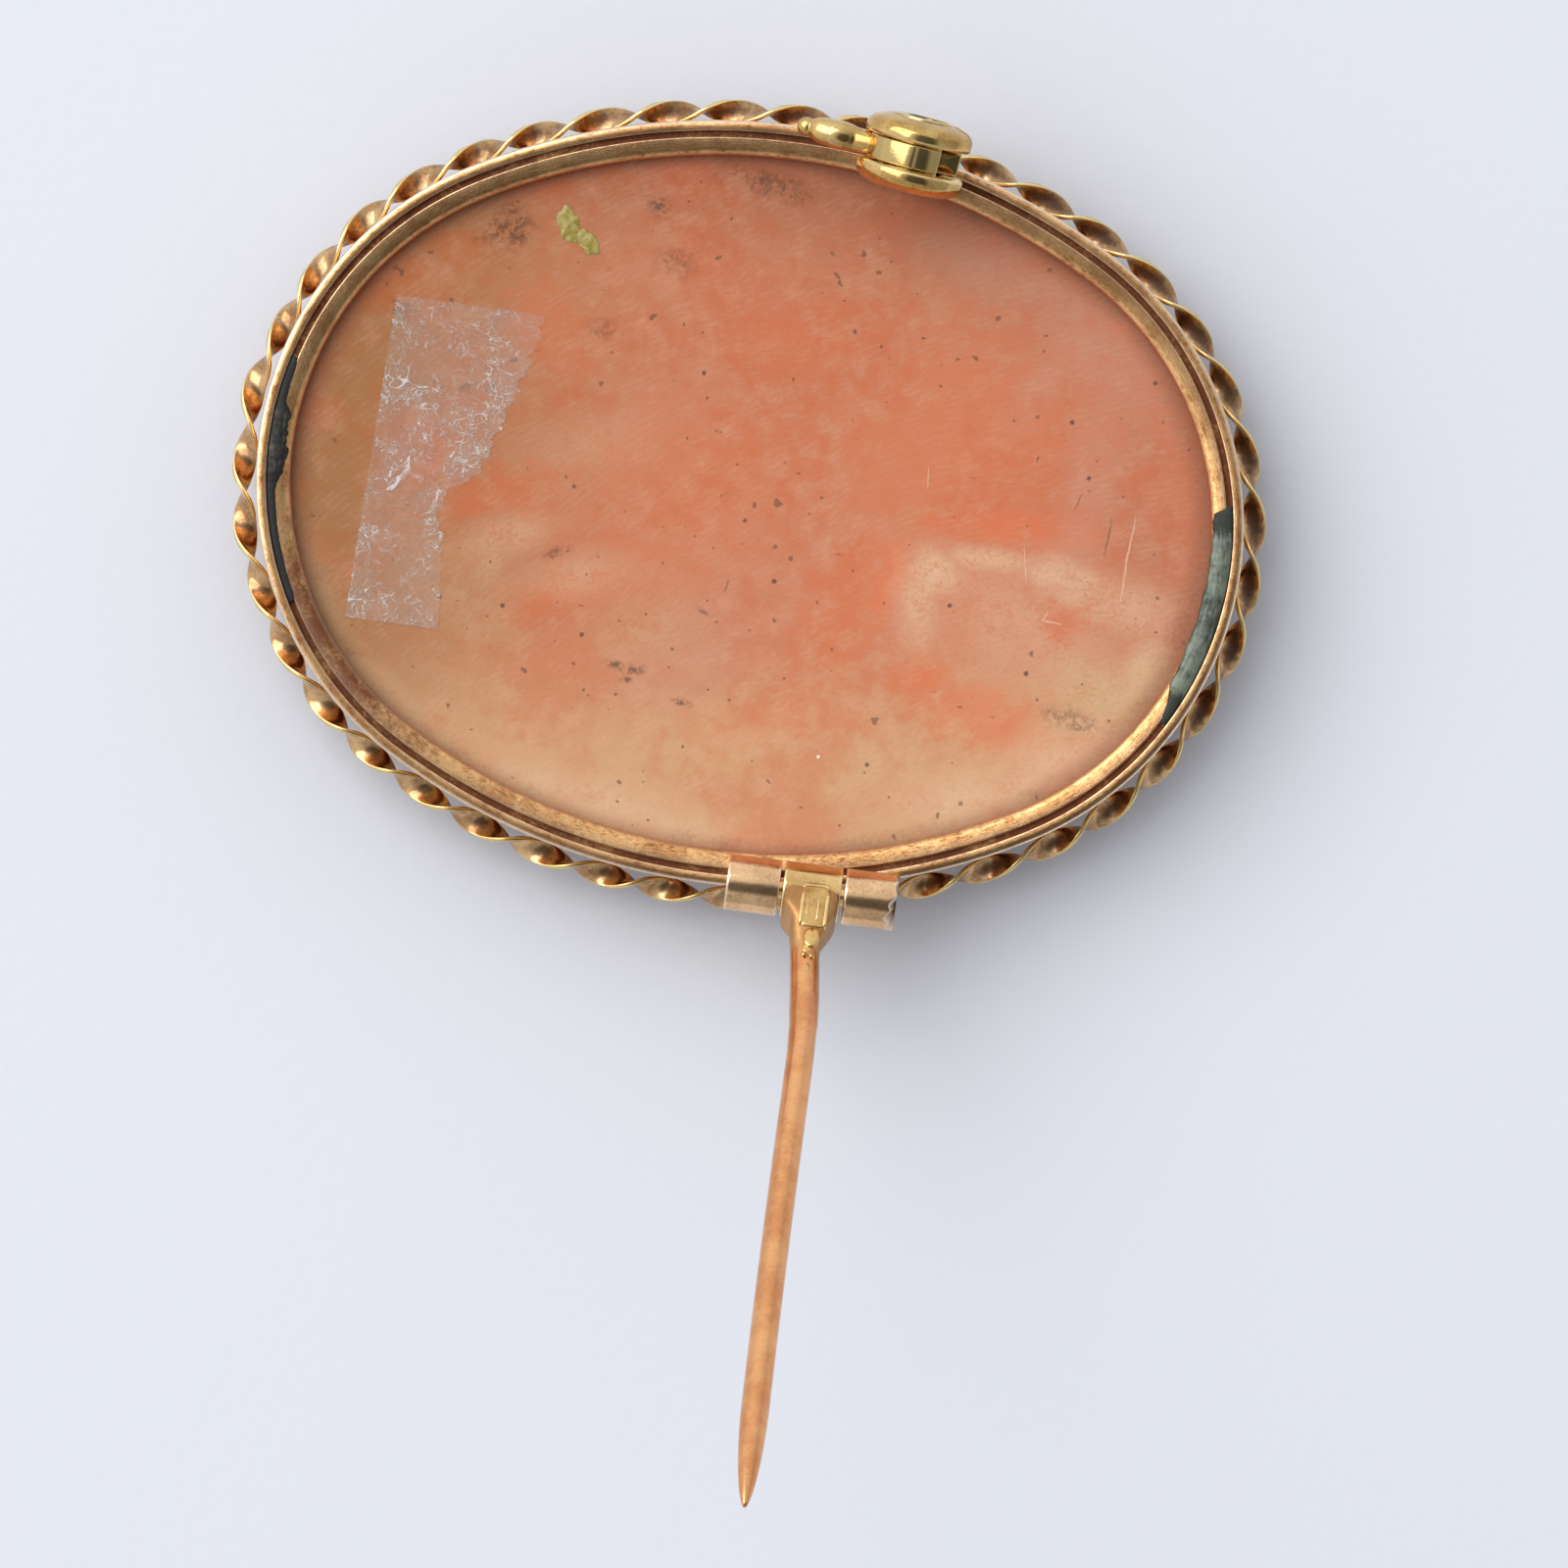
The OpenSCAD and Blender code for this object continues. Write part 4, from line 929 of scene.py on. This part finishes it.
def slotted_ring(piece, inner, outer, y0, y1, upper=None, rounding=0.1, dome=0.0, step=0.0, dark=0.3):
    """Ring about the chamber with a slot: a rounded section carried from the upper lip round to the lower.

    A domed side thins with the square of the way out. A step lowers the rim ahead of the top.
    """
    corners = [(y, w, rounding) for y, w in ((y0, 0), (y1, 0), (y1, 1), (y0, 1))]
    y, w = rounded_loop(corners, 6).T[:, None]
    w = np.clip(w, 0, 1)
    flat, mid_y = min(y0, y1, key=abs), (y0 + y1) / 2
    y = flat + (y - flat) * (1 - dome * w**2.2)
    lip = np.array([0.86, 0.96] + [1.0] * 140 + [0.96, 0.86])[:, None]
    y = mid_y + (y - mid_y) * lip
    turn = np.concatenate([[0, 0.003], np.linspace(0.008, 0.992, 140), [0.997, 1]])[:, None]
    low = slot_side(outer)
    first = upper or low
    nominal = first + turn * (TURN - low - first)
    rim = outer - step * soft((math.radians(91) - nominal) / math.radians(2))
    r = inner + (rim - inner) * (0.5 + (w - 0.5) * lip)
    start = upper or slot_side(r)
    angle = start + turn * (TURN - slot_side(r) - start)
    # Painted highlight along the rim's corners
    bright = (w > 0.6) * bell(np.abs(y - mid_y), (y1 - y0) / 2, 0.15)
    points = at_catch(spots(r * np.cos(angle), y, r * np.sin(angle)))
    # Darker inwards towards the chamber as painted shade, and darker on the rim by the dark setting, a
    # painted dark reflection
    piece.grid(points, edge=bright, hollow=(1 - w) * 0.5 + dark * (w > 0.9))


# Foot of the catch: middle and half sizes of its blocks
CATCH_FOOT = (
    ((0, 0, -2.8), (1.46, 1.1, 0.72)),
    ((0, -0.87, -2.3), (1.46, 0.24, 0.62)),
    ((0, 0.87, -2.3), (1.46, 0.24, 0.62)),
)


def make_catch(catch_gold):
    """Catch housing: two slotted cheeks, domed outside, on a foot that ends at the rim."""
    body = Piece("catch_housing")
    for side in (-1, 1):
        y0, y1 = sorted((side * (WHEEL_HALF + RUN_GAP), side * CATCH_HALF))
        slotted_ring(body, HUB_R + RUN_GAP, CHEEK_R, y0, y1, rounding=0.3, dome=0.42, dark=0.0)
    for middle, half in CATCH_FOOT:
        block = at_catch(rounded_box(middle, half, 7.0, 28, 48))
        block[..., 2] = np.maximum(block[..., 2], RIM_Z)
        # The foot is darkened as painted shade under the cheeks
        body.grid(block, edge=0, hollow=0.45)
    body.make(catch_gold, "brooch", "catch_gold", "catch_body")


def lever_sizes(s):
    """Half thickness and half height of the lever at s from the middle: neck, lobe and bead, round bumps."""
    neck = 0.5 * (s < LOBE_X)

    def bump(middle, half_len, half, power=2.0):
        return half * np.maximum(1 - np.abs((s - middle) / half_len) ** power, 0) ** (1 / power)

    def joined(*parts):
        return np.maximum(sum(part**6 for part in parts) ** (1 / 6), 0.01)

    thick = joined(neck, bump(LOBE_X, 1.0, 0.56, 3.0), bump(BEAD_X, BEAD_R, BEAD_R * 0.9))
    high = joined(neck, bump(LOBE_X, 1.0, LOBE_R, 2.6), bump(BEAD_X, BEAD_R, BEAD_R * 0.95))
    return thick, high


def make_catch_ring(painted_dark_wheel_gold, catch_gold):
    """Turning ring: wheel between the cheeks, hub through them and the lever with its lobe and bead."""
    wheel, inner = Piece("catch_wheel"), CHAMBER_R + RUN_GAP
    slotted_ring(wheel, inner, RING_R, -WHEEL_HALF, WHEEL_HALF, RING_OPEN, step=0.2)
    slotted_ring(wheel, inner, HUB_R, -CATCH_HALF, CATCH_HALF + 0.06)
    wheel.make(painted_dark_wheel_gold, "ring", "catch_gold", "catch_ring")

    round_end = BEAD_X + BEAD_R * np.sin(np.linspace(0.72, 1.54, 14))
    s = np.concatenate([np.linspace(1.0, BEAD_X + 0.27, 110), round_end])[:, None]
    points = at_catch(turned(spots(-s, *oval_ring(*lever_sizes(s), 2.4, 36)), 1, -LEVER_DROP))
    # Painted highlight on the lobe
    lever = Piece("catch_lever").grid(points, edge=0.3 * bell(s, 3.4, 0.6), hollow=0)
    lever.make(catch_gold, "ring", "catch_gold", "catch_ring")


def make_lead(side, metal, light, deep, end, rows, seed, uneven):
    """Lead run along the groove: an uneven low section over bezel and groove, as wide as the table says."""
    at, wide, high, dark = np.array(rows).T
    a = np.linspace(at[0], at[-1], 300)[:, None]
    t = (a - at[0]) / (at[-1] - at[0])
    closing = soft(t / 0.03) * soft((1 - t) / 0.03)
    lumps = 1 + uneven * ripple(t, seed, ((5, 1.0), (12, 0.7), (31, 0.5)))
    lap = (0.04 + 0.6 * np.interp(a, at, wide) * np.clip(lumps, 0.5, 1.1)) * closing
    top = 0.02 + 0.1 * np.interp(a, at, high) * closing * np.clip(lumps, 0.4, 1.15)
    # The section from the groove's outer wall inwards: d and height over the bezel's top
    section = (
        (GROOVE_OUT - 0.02, -0.6), (GROOVE_OUT - 0.02, top * 0.3 - 0.03),
        (GROOVE_OUT - 0.06, top * 0.8 - 0.02), (-0.6, top), (GROOVE_IN - lap * 0.35, top),
        (GROOVE_IN - lap * 0.7, top * 0.85), (GROOVE_IN - lap * 0.9, top * 0.5), (GROOVE_IN - lap, -0.02),
        (GROOVE_IN + 0.02, -0.03), (GROOVE_IN + 0.02, -0.6),
    )
    d, z = (np.concatenate([np.ones_like(a) * v for v in column], axis=1) for column in zip(*section))
    x, y = oval_at(np.radians(a + end), d)
    lay = spots(d, np.radians(a) * END_R, 0.0)
    points = spots(x, y, z + bezel_top(d))
    piece = Piece(f"lead_run_{side}").grid(points, dark=np.interp(a, at, dark), lay=lay)
    piece.make(lead_material(metal, light, deep), "brooch", "lead_solder", f"lead_patch_{side}")


# The tape's torn right edge, from its lower end up: y and x
TORN_EDGE = (
    (-6.8, -11.95), (-3.5, -12.2), (-2.0, -12.6), (-1.1, -12.3),
    (-0.2, -11.1), (1.3, -10.7), (4.9, -9.6), (6.5, -9.3),
)
# Its straight left side: x at the lower end, lean, and y of both ends
TAPE_LEFT_X, TAPE_LEAN, TAPE_LOW, TAPE_HIGH = -15.8, 0.024, -6.8, 6.55


def make_tape(film):
    """Tape remnant: a thin film on the shell's back, straight on the left and torn on the right."""
    y = np.linspace(TAPE_LOW, TAPE_HIGH, 260)[:, None]
    t = (y - TAPE_LOW) / (TAPE_HIGH - TAPE_LOW)
    left = TAPE_LEFT_X + TAPE_LEAN * (y - TAPE_LOW)
    ragged = 0.16 * ripple(t, 4.0, ((11, 1.0), (23, 0.8), (41, 0.5))) * soft(t / 0.3)
    torn = np.interp(y, *zip(*TORN_EDGE)) + ragged
    x = left + (torn - left) * np.linspace(0, 1, 40)[None]
    wrinkle = 0.012 * (1 + np.sin(1.9 * x + 0.8 * y) * np.sin(1.3 * y - 0.7 * x))
    base = on_shell(x, y) + 0.006
    top, low = spots(x, y, base + 0.025 + wrinkle), spots(x, y, base)
    Piece("tape_remnant").grid(np.concatenate([top, low[:, ::-1]], axis=1)).make(film, "brooch", "shell")


# Domes of the glue spot: middle x and y, half sizes, direction in degrees and seed
GLUE_DOMES = ((-8.9, 10.35, 0.46, 0.72, 12, 1.0), (-8.02, 9.75, 0.34, 0.66, 40, 4.0))


def make_glue(glue):
    """Spot of old glue: two low domes with uneven outlines on the shell's back."""
    piece = Piece("glue_spot")
    a = angles(64)
    r = np.sin(np.linspace(0.04, 1, 16)[:, None] * TURN / 4)
    for at_x, at_y, half_x, half_y, direction, seed in GLUE_DOMES:
        edge = 1 + 0.2 * ripple(a / TURN, seed, ((2, 1.0), (5, 0.8), (9, 0.5)))
        x, y = along_and_across(half_x * r * edge * np.cos(a), half_y * r * edge * np.sin(a), -direction)
        x, y = x + at_x, y + at_y
        lumps = 1 + 0.25 * np.sin(9 * x) * np.sin(8 * y + 1)
        height = 0.004 + 0.09 * np.sqrt(1 - r**2 * 0.999) * lumps
        top, low = (spots(x, y, on_shell(x, y) + up) for up in (height, 0.002))
        piece.grid(np.concatenate([top, low[::-1]]))
    piece.make(glue, "brooch", "shell")


# Stage, light and view

# The paper's half size and the window's size and place, in metres, and the window's power in watts
FLOOR_HALF, WINDOW_SIZE, WINDOW_PLACE, WINDOW_POWER = 1.5, 0.7, (-0.45, 0.25, 0.6), 3.35
# The camera's place in millimetres, its turn in degrees, its sensor and its lens
CAMERA_X, CAMERA_Y, CAMERA_Z, PHOTO_TURN = 2.94, -11.14, RIM_Z + 450, 7.8
SENSOR, LENS = 36, 253


def make_floor():
    """Pale paper under the brooch, square and in metres."""
    corners = [(x * FLOOR_HALF, y * FLOOR_HALF, 0) for x, y in ((-1, -1), (1, -1), (1, 1), (-1, 1))]
    mesh = bpy.data.meshes.new("paper")
    mesh.from_pydata(corners, [], [(0, 1, 2, 3)])
    mesh.materials.append(floor_material())
    floor = put("paper", mesh)


def make_light():
    """Soft window light from the upper left in a pale room, dark overhead where the photographer leans in."""
    lamp = bpy.data.lights.new("window", "AREA")
    lamp.energy, lamp.size, lamp.color = WINDOW_POWER, WINDOW_SIZE, (1.0, 0.985, 0.965)
    window = put("window", lamp)
    window.location = WINDOW_PLACE
    window.rotation_euler = window.location.normalized().to_track_quat("Z", "Y").to_euler()

    world = bpy.data.worlds.new("room")
    bpy.context.scene.world = world
    world.use_nodes = True
    n = Nodes(world.node_tree)
    x, y, z = n.split(n.add("ShaderNodeTexCoord").outputs["Generated"])
    overhead = (z * 0.94 - y * 0.27 + x * 0.2).rise(0.85, 0.965)
    from_left = (y * 0.6 - x * 0.8).rise(-0.9, 0.9)
    level = (from_left * 0.64 + 0.48) * (1 - overhead * 0.8)
    sky = n.add("ShaderNodeBackground", None, {"Color": (0.92, 0.95, 1.0, 1.0), "Strength": level})
    n.add("ShaderNodeOutputWorld", None, {"Surface": sky.outputs[0]})


def make_view():
    """Camera straight above a point below the oval, 450 mm over the rim, turned with the photo's frame."""
    lens = bpy.data.cameras.new("photo_view")
    lens.sensor_width, lens.lens, lens.clip_start, lens.clip_end = SENSOR, LENS, 0.01, 20
    camera = put("photo_view", lens)
    camera.location = (CAMERA_X * MM, CAMERA_Y * MM, CAMERA_Z * MM)
    camera.rotation_euler = (0, 0, math.radians(PHOTO_TURN))
    bpy.context.scene.camera = camera
    bpy.context.scene.view_settings.view_transform = "Standard"


def main():
    make_view()
    make_light()
    make_floor()

    gold = {name: worn_gold(name) for name in GOLDS}
    make_setting(gold["worn_band_gold"])
    make_ribbon(gold["patinated_border"])
    make_shell(shell_material())
    make_hinge(gold["rose_gold"], gold["yellow_solder"])
    make_pin(gold["coppery_pin_gold"], gold["yellow_solder"])
    make_catch(gold["polished_catch_gold"])
    make_catch_ring(gold["wheel_gold_with_painted_reflection"], gold["polished_catch_gold"])
    for row in LEADS:
        make_lead(*row)
    make_tape(tape_material())
    make_glue(glue_material())


main()
